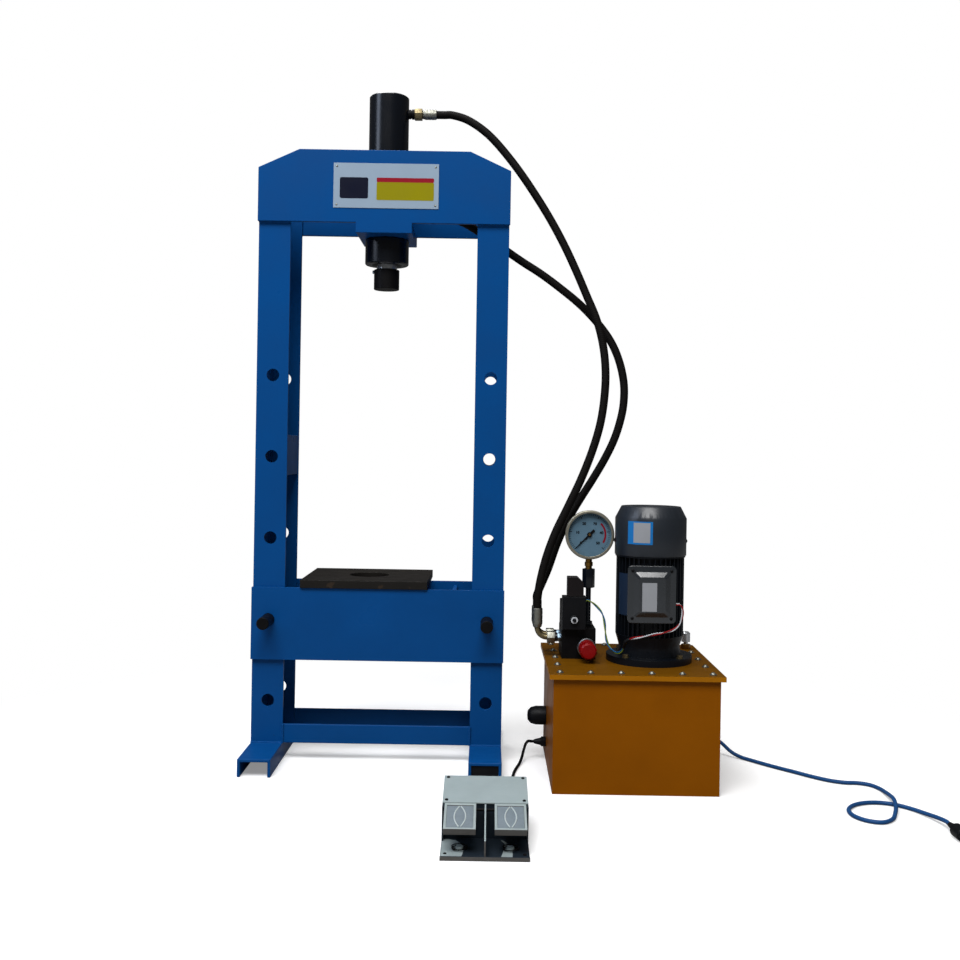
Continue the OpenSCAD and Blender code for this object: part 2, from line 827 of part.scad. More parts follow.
module cylinder_fittings() {
    color("#b9b7ae") on_axis()
        for (z = [lower_port_z, upper_port_z])
            translate([0, 0, z]) difference() {
                straight_fitting();
                translate([0, 0, -adapter_d])
                    cylinder(d = cylinder_d + 2 * run_fit, h = 2 * adapter_d);
            }
}

module data_plate() {
    color("#e6e8ec") place()
        translate([label_x - label_w / 2, -plate_t - label_t, crosshead_z + label_rise])
            cube([label_w, label_t, label_h]);
}

// Tank

module on_unit() {
    place() translate([unit_x, unit_y, 0]) children();
}

module bolt_places() {
    reach_x = tank_w / 2 - rim_w / 2;
    reach_y = tank_d / 2 - rim_w / 2;
    for (i = [0 : bolts_wide - 1])
        for (y = [-reach_y, reach_y])
            translate([-reach_x + 2 * reach_x * i / (bolts_wide - 1), y, 0]) children();
    for (i = [1 : bolts_deep - 2])
        for (x = [-reach_x, reach_x])
            translate([x, -reach_y + 2 * reach_y * i / (bolts_deep - 1), 0]) children();
}

module tank_shell() {
    rim_t = 6;
    color("#c2820f") on_unit() difference() {
        translate([-tank_w / 2, -tank_d / 2, 0]) cube([tank_w, tank_d, tank_h]);
        box([-tank_w / 2 + tank_t, -tank_d / 2 + tank_t, tank_t],
            [tank_w / 2 - tank_t, tank_d / 2 - tank_t, tank_h - rim_t]);
        box([-tank_w / 2 + rim_w, -tank_d / 2 + rim_w, tank_t],
            [tank_w / 2 - rim_w, tank_d / 2 - rim_w, tank_h + 1]);
        bolt_places() translate([0, 0, tank_h - rim_t - 1]) cylinder(d = bolt_d, h = rim_t + 2);
    }
}

module tank_lid() {
    color("#c2820f") on_unit() difference() {
        box([-tank_w / 2 - lid_over, -tank_d / 2 - lid_over, tank_h],
            [tank_w / 2 + lid_over, tank_d / 2 + lid_over, lid_z]);
        bolt_places() translate([0, 0, tank_h - 1]) cylinder(d = bolt_d, h = lid_t + 2);
        translate([motor_x, motor_y, tank_h - 1]) cylinder(d = lid_hole_d, h = lid_t + 2);
    }
}

module shank(length) {
    translate([0, 0, -length]) cylinder(d = bolt_d - 4 * run_fit, h = length + 1);
    cylinder(d = bolt_head_d * 1.1, h = washer_t);
}

module hex_bolt(length) {
    shank(length);
    translate([0, 0, washer_t]) cylinder(d = bolt_head_d, h = bolt_head_h, $fn = 6);
}

module dome_bolt(length) {
    r = bolt_head_d / 2;
    shank(length);
    translate([0, 0, washer_t]) rotate_extrude() polygon([
        [0, 0], [r, 0], [r, bolt_head_h * 0.35], [r * 0.85, bolt_head_h * 0.65],
        [r * 0.5, bolt_head_h * 0.9], [0, bolt_head_h]
    ]);
}

module flange_bolt_places() {
    for (a = [45 : 90 : 315])
        rotate(a) translate([flange_pcd / 2, 0, 0]) children();
}

module unit_bolts() {
    color("#b8a878") on_unit() {
        bolt_places() translate([0, 0, lid_z]) dome_bolt(lid_t + bolt_end);
        translate([motor_x, motor_y, shield_z]) flange_bolt_places() hex_bolt(flange_t - washer_t);
    }
}

module side_cap() {
    left = -tank_w / 2;
    color("#151517") on_unit()
        translate([left, tank_d / 2 - side_cap_back, side_cap_z]) rotate([0, -90, 0]) rotate_extrude()
            polygon([
                [0, 0], [side_cap_d / 2, 0], [side_cap_d / 2, side_cap_l * 0.55],
                [side_cap_d * 0.42, side_cap_l * 0.82], [side_cap_d * 0.25, side_cap_l * 0.97],
                [0, side_cap_l]
            ]);
}

module breather() {
    base_af = 22;
    base_h = 12;
    neck_h = 6;
    cap_h = 26;
    cap_r = 11;
    crown = 4;
    spot = [tank_w / 2 - breather_set[0], tank_d / 2 - breather_set[1], lid_z];
    color("#c9ccd0") on_unit() translate(spot) {
        cylinder(d = base_af / cos(30), h = base_h, $fn = 6);
        translate([0, 0, base_h]) cylinder(r = cap_r / 2, h = neck_h);
        translate([0, 0, base_h + neck_h]) rotate_extrude()
            polygon([[0, 0], [cap_r, 0], [cap_r, cap_h - crown], [cap_r - crown, cap_h], [0, cap_h]]);
    }
}

module cord_gland(cord_size) {
    nut_l = gland_l * 0.4;
    rotate([0, 90, 0]) {
        cylinder(d = gland_d / cos(30), h = nut_l, $fn = 6);
        translate([0, 0, nut_l])
            cylinder(d1 = gland_d - 3, d2 = cord_size + 3, h = gland_l - nut_l);
    }
}

module cord_glands() {
    back = unit_y + tank_d / 2;
    color("#1b1b1d") place() {
        translate([tank_right, back - gland_back[1], gland_z[1]]) cord_gland(mains_cord_d);
        translate([unit_left, back - gland_back[0], gland_z[0]])
            mirror([1, 0, 0]) cord_gland(pedal_cord_d);
        translate([pedal_x + pedal_cord_side, pedal_back, pedal_cord_z])
            rotate(90) cord_gland(pedal_cord_d);
    }
}

// Motor

module on_motor() {
    place() translate([motor_axis[0], motor_axis[1], 0]) children();
}

module motor_flange() {
    throat_d = bearing_d + 2 * run_fit;
    color("#2b2c30") on_motor() difference() {
        rotate_extrude() polygon([
            [shaft_d / 2 + 4, lid_z], [flange_d / 2, lid_z], [flange_d / 2, shield_z],
            [flange_d / 2 - 26, shield_z], [housing_d / 2 - 8, shield_z + shield_h * 0.45],
            [housing_d / 2, housing_z], [stator_d / 2, housing_z],
            [stator_d / 2 - 8, lower_bearing_z + bearing_h],
            [throat_d / 2, lower_bearing_z + bearing_h],
            [throat_d / 2, lower_bearing_z], [shaft_d / 2 + 4, lower_bearing_z]
        ]);
        translate([0, 0, lid_z - 1]) flange_bolt_places() cylinder(d = bolt_d, h = flange_t + 2);
    }
}

module fin_ring() {
    difference() {
        union() {
            circle(d = barrel_d);
            for (i = [0 : fin_count - 1])
                rotate(360 * i / fin_count)
                    translate([barrel_d / 2 - 3, -fin_t / 2])
                        square([(housing_d - barrel_d) / 2 + 3, fin_t]);
        }
        circle(d = stator_d);
    }
}

module motor_housing() {
    trim = 2;
    color("#2b2c30") on_motor() {
        difference() {
            translate([0, 0, housing_z]) linear_extrude(housing_h - end_plate_t) fin_ring();
            box([terminal_x - terminal_w / 2 + trim, -housing_d,
                 terminal_mid_z - terminal_h / 2 + trim],
                [terminal_x + terminal_w / 2 - trim, terminal_back - motor_axis[1],
                 terminal_mid_z + terminal_h / 2 - trim]);
        }
        translate([0, 0, upper_bearing_z])
            ring(cowl_d - 2 * cowl_t - 2 * run_fit, bearing_d + 2 * run_fit, end_plate_t);
    }
}

module motor_stator() {
    end_room = 12;
    color("#8a4a2a") on_motor()
        translate([0, 0, housing_z + end_room])
            ring(stator_d - 2 * run_fit, rotor_d + 2 * gap, housing_h - end_plate_t - 2 * end_room);
}

module motor_rotor() {
    core_z = housing_z + 20;
    core_h = housing_h - end_plate_t - 40;
    fan_end = housing_top + 46;
    color("#9a9da2") on_motor() {
        translate([0, 0, shaft_end_z]) cylinder(d = shaft_d, h = fan_end - shaft_end_z);
        translate([0, 0, core_z]) cylinder(d = rotor_d, h = core_h);
    }
}

module motor_bearings() {
    color("#c4c7cb") on_motor()
        for (z = [lower_bearing_z, upper_bearing_z])
            translate([0, 0, z]) ring(bearing_d, shaft_d + 2 * run_fit, bearing_h);
}

module motor_fan() {
    hub_h = 34;
    blade_h = 30;
    blade_t = 2.5;
    fan_z = housing_top + 8;
    hub = shaft_d + 22;
    color("#3a3b3f") on_motor() translate([0, 0, fan_z]) {
        ring(hub, shaft_d + 2 * run_fit, hub_h);
        for (i = [0 : fan_blades - 1])
            rotate(360 * i / fan_blades)
                translate([hub / 2 - 2, -blade_t / 2, 2])
                    cube([(fan_d - hub) / 2 + 2, blade_t, blade_h]);
    }
}

module motor_cowl() {
    top = cowl_h;
    shoulder = cowl_h - cowl_slope_h;
    slot_rings = [24, 42, 60];
    slot_w = 5;
    color("#2b2c30") on_motor() translate([0, 0, cowl_z]) difference() {
        rotate_extrude() polygon([
            [cowl_d / 2 - cowl_t, 0], [cowl_d / 2, 0], [cowl_d / 2, shoulder],
            [cowl_top_d / 2, top], [0, top], [0, top - cowl_t],
            [cowl_top_d / 2 - cowl_t, top - cowl_t], [cowl_d / 2 - cowl_t, shoulder - cowl_t / 2]
        ]);
        for (r = slot_rings)
            translate([0, 0, top - cowl_t - 1]) difference() {
                ring(2 * r + slot_w, 2 * r - slot_w, cowl_t + 2);
                for (a = [0, 60, 120])
                    rotate(a) translate([-cowl_d, -4, -1]) cube([2 * cowl_d, 8, cowl_t + 4]);
            }
    }
}

module terminal_box() {
    lip = 6;
    wall = 3;
    corner = 9;
    panel = 15;
    panel_step = 4;
    color("#34363b") place() translate([terminal_mid_x, 0, terminal_mid_z]) {
        difference() {
            facing_y(cover_y, terminal_back)
                chamfered(terminal_w - 2 * lip, terminal_h - 2 * lip, corner);
            facing_y(cover_y - 1, terminal_back - wall)
                chamfered(terminal_w - 2 * lip - 2 * wall, terminal_h - 2 * lip - 2 * wall, corner);
            translate([-terminal_x, motor_axis[1], -terminal_h])
                cylinder(d = barrel_d + 2 * run_fit, h = 2 * terminal_h);
        }
        facing_y(cover_y - cover_t, cover_y) chamfered(terminal_w, terminal_h, corner);
        facing_y(terminal_front + panel_step, cover_y - cover_t + 1)
            chamfered(terminal_w - 2 * panel, terminal_h - 2 * panel, corner);
        facing_y(terminal_front, terminal_front + panel_step + 1)
            chamfered(terminal_w - 2 * panel - panel_step, terminal_h - 2 * panel - panel_step,
                corner);
    }
}

// Pump in the tank

module pump_drive() {
    half = coupling_h / 2;
    web = 2;
    shaft_low = tank_h - bracket_h - pump_h / 2 + web;
    color("#55585c") on_motor() {
        translate([0, 0, coupling_z]) difference() {
            cylinder(d = coupling_d, h = coupling_h);
            translate([0, 0, half]) cylinder(d = shaft_d + 2 * run_fit, h = half + 1);
            translate([0, 0, -web]) cylinder(d = pump_shaft_d + 2 * run_fit, h = half);
        }
        translate([0, 0, shaft_low])
            cylinder(d = pump_shaft_d, h = coupling_z + half - 2 * web - shaft_low);
    }
}

module pump() {
    foot_z = tank_h - bracket_h;
    foot_plate = 12;
    collar_d = bracket_d + 34;
    color("#6d7278") on_motor() {
        difference() {
            union() {
                translate([0, 0, foot_z]) cylinder(d = bracket_d, h = bracket_h);
                translate([0, 0, tank_h - foot_plate]) cylinder(d = collar_d, h = foot_plate);
            }
            translate([0, 0, foot_z + foot_plate])
                cylinder(d = bracket_d - 2 * bracket_t, h = bracket_h);
            for (a = [0, 90])
                rotate(a) translate([-bracket_d, -18, foot_z + foot_plate + 6])
                    cube([2 * bracket_d, 36, bracket_h - 3 * foot_plate]);
            translate([0, 0, foot_z - 1]) cylinder(d = pump_shaft_d + 2 * gap, h = foot_plate + 2);
        }
        translate([0, 0, foot_z - pump_h]) difference() {
            cylinder(d = pump_d, h = pump_h);
            translate([0, 0, pump_h / 2]) cylinder(d = pump_shaft_d + 2 * run_fit, h = pump_h);
        }
    }
}

module suction_strainer() {
    top = tank_h - bracket_h - pump_h;
    color("#a8a59a") on_motor() {
        translate([0, 0, top - strainer_neck_h]) cylinder(d = strainer_d * 0.43, h = strainer_neck_h);
        translate([0, 0, top - strainer_neck_h - strainer_h])
            cylinder(d = strainer_d, h = strainer_h);
    }
}

// Valve block

module manifold_block() {
    edge = 2;
    color("#17171a") place() difference() {
        box([block_left, block_front, lid_z], [block_right, block_front + block_d, block_top]);
        for (y = [fitting_y, fitting_y + fitting_gap])
            translate([0, y, fitting_z]) rod_x(port_d, block_left - 1, block_left + 50);
        translate([gauge_x, gauge_y, block_top - 30]) cylinder(d = port_d / 2, h = 31);
        translate([knob_x, 0, knob_z])
            rod_y(stem_d + 2 * run_fit, block_front - 1, block_front + stem_in + 4);
        translate([block_left, 0, block_top])
            rotate([0, 45, 0]) cube([edge, 3 * block_d, edge], center = true);
    }
}

module elbow_fitting() {
    nut_x = block_left - adapter_l;
    tube_x = nut_x - hose_nut_l;
    rod_x(adapter_d, nut_x, block_left);
    hex_x(hose_nut_af, tube_x, nut_x);
    translate([tube_x, 0, elbow_r]) rotate([90, 0, 180]) rotate([0, 0, -90])
        rotate_extrude(angle = 90) translate([elbow_r, 0]) circle(d = elbow_tube_d);
    translate([elbow_x, 0, elbow_r]) cylinder(d = ferrule_d, h = ferrule_l + ferrule_neck);
}

module block_fittings() {
    color("#b9b7ae") place()
        for (y = [fitting_y, fitting_y + fitting_gap])
            translate([0, y, fitting_z]) elbow_fitting();
}

module valve_body() {
    color("#1b1c1f") place()
        box([block_left, valve_front, block_top],
            [block_left + valve_w, valve_front + valve_d, block_top + valve_h]);
}

module solenoid_coil() {
    color("#141416") place() difference() {
        union() {
            box([block_left, coil_front, block_top],
                [block_left + valve_w, valve_front, block_top + coil_h]);
            translate([valve_mid_x, 0, button_z]) rod_y(override_d, coil_front - 8, coil_front + 1);
        }
        translate([valve_mid_x, 0, button_z])
            rod_y(button_d + 2 * run_fit, coil_front - 9, coil_front + 12);
    }
}

module override_button() {
    reach = 5;
    color("#9fa3a8") place()
        translate([valve_mid_x, 0, button_z])
            rod_y(button_d, coil_front - 8 - reach, coil_front + 12 - button_travel - 1);
}

module valve_connector() {
    left = block_left + 11;
    depth = coil_d - 4;
    cut = 14;
    low = block_top + coil_h;
    color("#101012") place()
        translate([left, coil_front + 2 + depth, low]) rotate([90, 0, 0])
            linear_extrude(depth) polygon([
                [0, 0], [connector_w, 0], [connector_w, connector_h - cut],
                [connector_w - cut, connector_h], [0, connector_h]
            ]);
}

module relief_collar() {
    color("#8d9195") place() translate([knob_x, 0, knob_z]) difference() {
        translate([0, block_front, 0]) rotate([90, 0, 0])
            cylinder(d = collar_af / cos(30), h = collar_l, $fn = 6);
        rod_y(stem_d + 2 * run_fit, block_front - collar_l - 1, block_front + 1);
    }
}

module relief_knob() {
    front = block_front - collar_l - gap;
    r = knob_d / 2;
    ease = 4;
    grip_d = 5;
    grip_set = 10;
    color("#b3141c") place() translate([knob_x, 0, knob_z]) {
        rod_y(stem_d, front - 1, block_front + stem_in);
        difference() {
            translate([0, front, 0]) rotate([90, 0, 0]) rotate_extrude()
                polygon([[0, 0], [r, 0], [r, knob_l - ease], [r - ease, knob_l], [0, knob_l]]);
            for (i = [0 : knob_grips - 1])
                rotate([0, 360 * i / knob_grips, 0]) translate([r + 1, 0, 0])
                    rod_y(grip_d, front - knob_l - 1, front - grip_set);
        }
    }
}

// Gauge

module facing_front() {
    place() translate([gauge_x, gauge_front, gauge_z]) rotate([90, 0, 0])
        translate([0, 0, -gauge_depth]) children();
}

module gauge_case() {
    r = gauge_d / 2;
    inside = r - gauge_t;
    lip = gauge_depth - 5;
    color("#d8d5c6") facing_front() {
        rotate_extrude() polygon([
            [0, 0], [r - 5, 0], [r - 2, 4], [r - 2, lip], [r, lip], [r, gauge_depth - 2],
            [r - 2, gauge_depth], [r - bezel_w, gauge_depth], [r - bezel_w, gauge_depth - 2],
            [inside, gauge_depth - 2], [inside, gauge_t], [0, gauge_t]
        ]);
    }
}

module gauge_dial() {
    stand = gauge_depth - dial_set - dial_t - gauge_t;
    color("#cfe0ea") facing_front() translate([0, 0, gauge_t]) difference() {
        union() {
            translate([0, 0, stand]) cylinder(d = gauge_d - 2 * gauge_t - 2 * gap, h = dial_t);
            ring(30, 20, stand + 1);
        }
        translate([0, 0, -1]) cylinder(d = 4 + 2 * run_fit, h = gauge_depth);
    }
}

module gauge_needle() {
    face = gauge_depth - dial_set;
    color("#141414") facing_front() {
        translate([0, 0, face - dial_t - 6]) cylinder(d = 4, h = dial_t + 10);
        translate([0, 0, face + 1]) cylinder(d = 12, h = 3);
        translate([0, 0, face + 1.5]) rotate(225) linear_extrude(1.2)
            polygon([[-16, -3], [0, -2.5], [needle_l, -0.5], [needle_l, 0.5], [0, 2.5], [-16, 3]]);
    }
}

module gauge_glass() {
    color([0.85, 0.9, 0.95, 0.35]) facing_front()
        translate([0, 0, gauge_depth - 2 - glass_t])
            cylinder(d = gauge_d - 2 * gauge_t - 2 * run_fit, h = glass_t);
}

module gauge_stem() {
    case_low = gauge_z - gauge_d / 2 + 2;
    hex_z = joint_z + joint_l;
    color("#b08a3c") place() translate([gauge_x, gauge_y, 0]) difference() {
        union() {
            translate([0, 0, block_top]) cylinder(d = pipe_d + 8, h = 12, $fn = 6);
            translate([0, 0, block_top]) cylinder(d = pipe_d, h = joint_z - block_top + 1);
            translate([0, 0, joint_z]) cylinder(d = joint_d, h = joint_l);
            translate([0, 0, hex_z]) cylinder(d = gauge_stem_d, h = case_low + 4 - hex_z);
        }
        translate([0, 0, gauge_z]) rod_y(gauge_d - 4 + 2 * run_fit, -gauge_d, gauge_d);
    }
}

// Foot pedal

module pedal_side_profile() {
    polygon([
        [wall_y, sheet_t], [pedal_back, sheet_t], [pedal_back, cover_high], [wall_y, cover_low]
    ]);
}

module along_x(x0, x1) {
    translate([x0, 0, 0]) rotate([90, 0, 90]) linear_extrude(x1 - x0) children();
}

module pedal_base() {
    half = pedal_w / 2;
    stop_h = 33;
    stop_d = 24;
    hole_set = 9;
    hole_d = 7;
    divider_set = 8;
    divider_low = 35;
    ear_top = axle_z + hub_d / 2;
    front_lip = 8;
    color("#4d5359") place() translate([pedal_x, 0, 0]) difference() {
        union() {
            box([-half, pedal_front, 0], [half, pedal_back, sheet_t]);
            difference() {
                along_x(-half, half) pedal_side_profile();
                box([-half + sheet_t, wall_y + sheet_t, 0],
                    [half - sheet_t, pedal_back - sheet_t, cover_high + 10]);
            }
            for (x = [-half, half - ear_w])
                box([x, axle_y - hub_d / 2, 0], [x + ear_w, wall_y + 1, ear_top]);
            along_x(-ear_w / 2, ear_w / 2) polygon([
                [pedal_front + divider_set, 0], [wall_y + 1, 0], [wall_y + 1, ear_top],
                [axle_y - hub_d / 2, ear_top], [pedal_front + divider_set, divider_low]
            ]);
            box([-half, pedal_front, 0], [half, pedal_front + sheet_t, front_lip]);
            for (side = [-tread_x, tread_x])
                translate([side, axle_y - tread_l * 0.62, 0]) cylinder(d = stop_d, h = sheet_t + stop_h);
        }
        translate([0, axle_y, axle_z]) rod_x(axle_d + 2 * run_fit, -half - 1, half + 1);
        for (side = [-half + hole_set, half - hole_set])
            translate([side, pedal_front + hole_set, -1]) cylinder(d = hole_d, h = sheet_t + 2);
    }
}

module pedal_cover() {
    half = pedal_w / 2;
    front = wall_y - 2;
    front_z = cover_low - 2 * cover_slope;
    thick = sheet_t;
    color("#c3cbc8") place() translate([pedal_x, 0, 0])
        along_x(-half, half) polygon([
            [front, front_z], [pedal_back, cover_high], [pedal_back, cover_high + thick],
            [front, front_z + thick]
        ]);
}

module tread(side) {
    border = 5;
    recess = 2;
    lip_drop = 3;
    top = hub_d / 2 + border;
    half = tread_w / 2;
    color("#a9afb2") place() translate([pedal_x + side, axle_y, axle_z])
        rotate([tread_tilt, 0, 0]) difference() {
            union() {
                rod_x(hub_d, -half, half);
                box([-half, -tread_l, top - tread_t], [half, 2, top]);
                box([-half, -tread_l, top - tread_t - lip_drop], [half, border - tread_l, top]);
            }
            box([border - half, border - tread_l, top - recess], [half - border, -border, top + 1]);
            rod_x(axle_d + 2 * run_fit, -tread_w, tread_w);
        }
}

module left_pedal() {
    tread(-tread_x);
}

module right_pedal() {
    tread(tread_x);
}

module pedal_axle() {
    color("#c4c7cb") place() translate([pedal_x, axle_y, axle_z])
        rod_x(axle_d, -pedal_w / 2, pedal_w / 2);
}

// Cords

module pressure_hose() {
    color("#141416") place() cord(pressure_route, hose_d, 12, [0, 1, 0]);
}

module return_hose() {
    color("#141416") place() cord(return_route, hose_d, 12, [0, 1, 0]);
}

module pedal_cord() {
    color("#141416") place() cord(pedal_route, pedal_cord_d, 10, [0, 0, 1]);
}

module mains_cord() {
    color("#24508c") place() cord(mains_route, mains_cord_d, 10, [0, 0, 1]);
}

module mains_plug() {
    end = mains_route[len(mains_route) - 1];
    relief_l = 26;
    body_l = 42;
    body_d = 2 * end[2];
    pin_l = 19;
    pin_gap = 19;
    color("#1b1b1d") place() translate(end) rotate([90, 0, 0]) {
        rotate_extrude() polygon([
            [0, 0], [mains_cord_d / 2 + 1, 0], [body_d * 0.3, relief_l],
            [body_d / 2, relief_l + 6], [body_d / 2, relief_l + body_l - 3],
            [body_d / 2 - 3, relief_l + body_l], [0, relief_l + body_l]
        ]);
        for (x = [-pin_gap / 2, pin_gap / 2])
            translate([x, 0, relief_l + body_l - 1]) cylinder(d = 4.8, h = pin_l + 1);
    }
}

module motor_lead() {
    color("#b8262b") place() cord(motor_lead_route, lead_d, 8, [0, 1, 0]);
}

module valve_lead() {
    color("#4f8f3a") place() cord(valve_lead_route, lead_d, 8, [0, 1, 1]);
}

left_column();
right_column();
crosshead();
feet();
tie_plates();
bed();
press_plate();
bed_pin_left();
bed_pin_right();
cylinder_tube();
cylinder_cap();
cylinder_gland();
lock_nut();
ram();
piston_seal();
ram_tip();
cylinder_fittings();
data_plate();
tank_shell();
tank_lid();
unit_bolts();
motor_flange();
motor_housing();
motor_stator();
motor_rotor();
motor_bearings();
motor_fan();
motor_cowl();
terminal_box();
pump_drive();
pump();
suction_strainer();
manifold_block();
block_fittings();
valve_body();
solenoid_coil();
valve_connector();
override_button();
relief_collar();
relief_knob();
gauge_case();
gauge_dial();
gauge_needle();
gauge_glass();
gauge_stem();
breather();
side_cap();
cord_glands();
pedal_base();
pedal_cover();
left_pedal();
right_pedal();
pedal_axle();
pressure_hose();
return_hose();
pedal_cord();
mains_cord();
mains_plug();
motor_lead();
valve_lead();
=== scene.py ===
"""Looks of a two-column hydraulic press with its power unit and foot pedal.

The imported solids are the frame. Each sub-assembly here is a class that dresses its solids with
eased edges and finishes, and adds the small parts that give the machine its look.
"""

from __future__ import annotations

import json
import logging
import math
from dataclasses import dataclass, field
from enum import Enum
from typing import Any, Callable, Sequence

import bmesh
import bpy
from mathutils import Matrix, Vector

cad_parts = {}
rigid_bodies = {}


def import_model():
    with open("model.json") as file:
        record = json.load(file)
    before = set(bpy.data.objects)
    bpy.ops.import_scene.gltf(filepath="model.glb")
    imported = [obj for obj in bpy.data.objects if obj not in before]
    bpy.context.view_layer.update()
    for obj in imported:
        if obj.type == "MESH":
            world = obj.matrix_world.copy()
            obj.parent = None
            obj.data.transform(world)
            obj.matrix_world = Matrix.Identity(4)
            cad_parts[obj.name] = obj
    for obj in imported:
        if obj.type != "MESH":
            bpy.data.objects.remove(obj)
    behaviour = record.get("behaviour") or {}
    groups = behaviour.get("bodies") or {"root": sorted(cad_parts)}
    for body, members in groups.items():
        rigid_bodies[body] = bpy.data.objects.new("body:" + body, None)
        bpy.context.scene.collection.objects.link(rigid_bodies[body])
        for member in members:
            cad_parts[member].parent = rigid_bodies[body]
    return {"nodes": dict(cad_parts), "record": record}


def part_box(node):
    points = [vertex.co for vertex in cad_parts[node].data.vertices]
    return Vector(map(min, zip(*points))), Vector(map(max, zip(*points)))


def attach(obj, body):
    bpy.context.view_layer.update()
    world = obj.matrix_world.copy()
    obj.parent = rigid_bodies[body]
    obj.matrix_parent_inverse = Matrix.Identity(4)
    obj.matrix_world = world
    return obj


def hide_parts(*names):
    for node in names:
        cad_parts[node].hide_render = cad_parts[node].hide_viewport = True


LOG = logging.getLogger("press")

MM = 0.001
ORIGIN_MM = Vector((258.0, -163.0, 0.0))
FRAME_BODY = "frame"
SIDES = ("left", "right")
# Thickness of printed marks
PRINT_MM = 0.3
# Where a dial's scale starts
DIAL_START_DEG = 225.0
# Points closer than this are one point
MERGE_M = 2e-6
WHITE = (1.0, 1.0, 1.0, 1.0)
UP = Vector((0, 0, 1))
LEFT = Vector((-1, 0, 0))
RIGHT = Vector((1, 0, 0))
FRONT = Vector((0, -1, 0))
BACK = Vector((0, 1, 0))

Point = tuple[float, float, float]
Profile = Sequence[tuple[float, float]]
Box = tuple[Vector, Vector]
Piece = bpy.types.Object
Tree = bpy.types.NodeTree
Socket = bpy.types.NodeSocket
Shape = bmesh.types.BMesh


def at(x: float, y: float, z: float) -> Vector:
    """Turn press millimetres into metres of the shared frame.

    Args:
        x: Distance to the right of the press's middle.
        y: Distance behind the columns' front face.
        z: Height above the floor.

    Returns:
        The point in metres.
    """
    return (Vector((x, y, z)) - ORIGIN_MM) * MM


def linear(code: str, alpha: float = 1.0) -> tuple[float, float, float, float]:
    """Turn an sRGB hex value into linear colour.

    Args:
        code: Six hex digits after a hash mark.
        alpha: Opacity of the colour.

    Returns:
        Linear red, green, blue and alpha.
    """
    values = [int(code[i:i + 2], 16) / 255 for i in (1, 3, 5)]
    curve = [v / 12.92 if v <= 0.04045 else ((v + 0.055) / 1.055) ** 2.4 for v in values]
    return (curve[0], curve[1], curve[2], alpha)


def add_node(
    tree: Tree,
    kind: str,
    inputs: dict[str | int, Any] | None = None,
    **settings: Any,
) -> bpy.types.Node:
    """Add a node with its settings, and set or link its inputs.

    Args:
        tree: The tree that takes the node.
        kind: Blender's name for the node type.
        inputs: Socket name or index to a value, or to the socket that feeds it.
        **settings: The node's own properties.

    Returns:
        The new node.
    """
    node = tree.nodes.new(kind)
    for key, value in settings.items():
        setattr(node, key, value)
    for key, value in (inputs or {}).items():
        if isinstance(value, Socket):
            tree.links.new(value, node.inputs[key])
        else:
            node.inputs[key].default_value = value
    return node


def math_node(tree: Tree, operation: str, *values: Socket | float) -> Socket:
    """Return the result of a maths node on sockets or numbers."""
    node = add_node(tree, "ShaderNodeMath", dict(enumerate(values)), operation=operation)
    return node.outputs[0]


def vector_node(tree: Tree, **parts: Socket | float) -> Socket:
    """Return a vector made from those of its X, Y and Z parts that are given."""
    return add_node(tree, "ShaderNodeCombineXYZ", parts).outputs[0]


def empty_tree(owner: bpy.types.Material | bpy.types.World) -> Tree:
    """Return the owner's node tree with nothing in it."""
    owner.use_nodes = True
    owner.node_tree.nodes.clear()
    return owner.node_tree


class Place(Enum):
    """Where a pattern takes its coordinates from."""

    OBJECT = "Object"
    SURFACE = "UV"


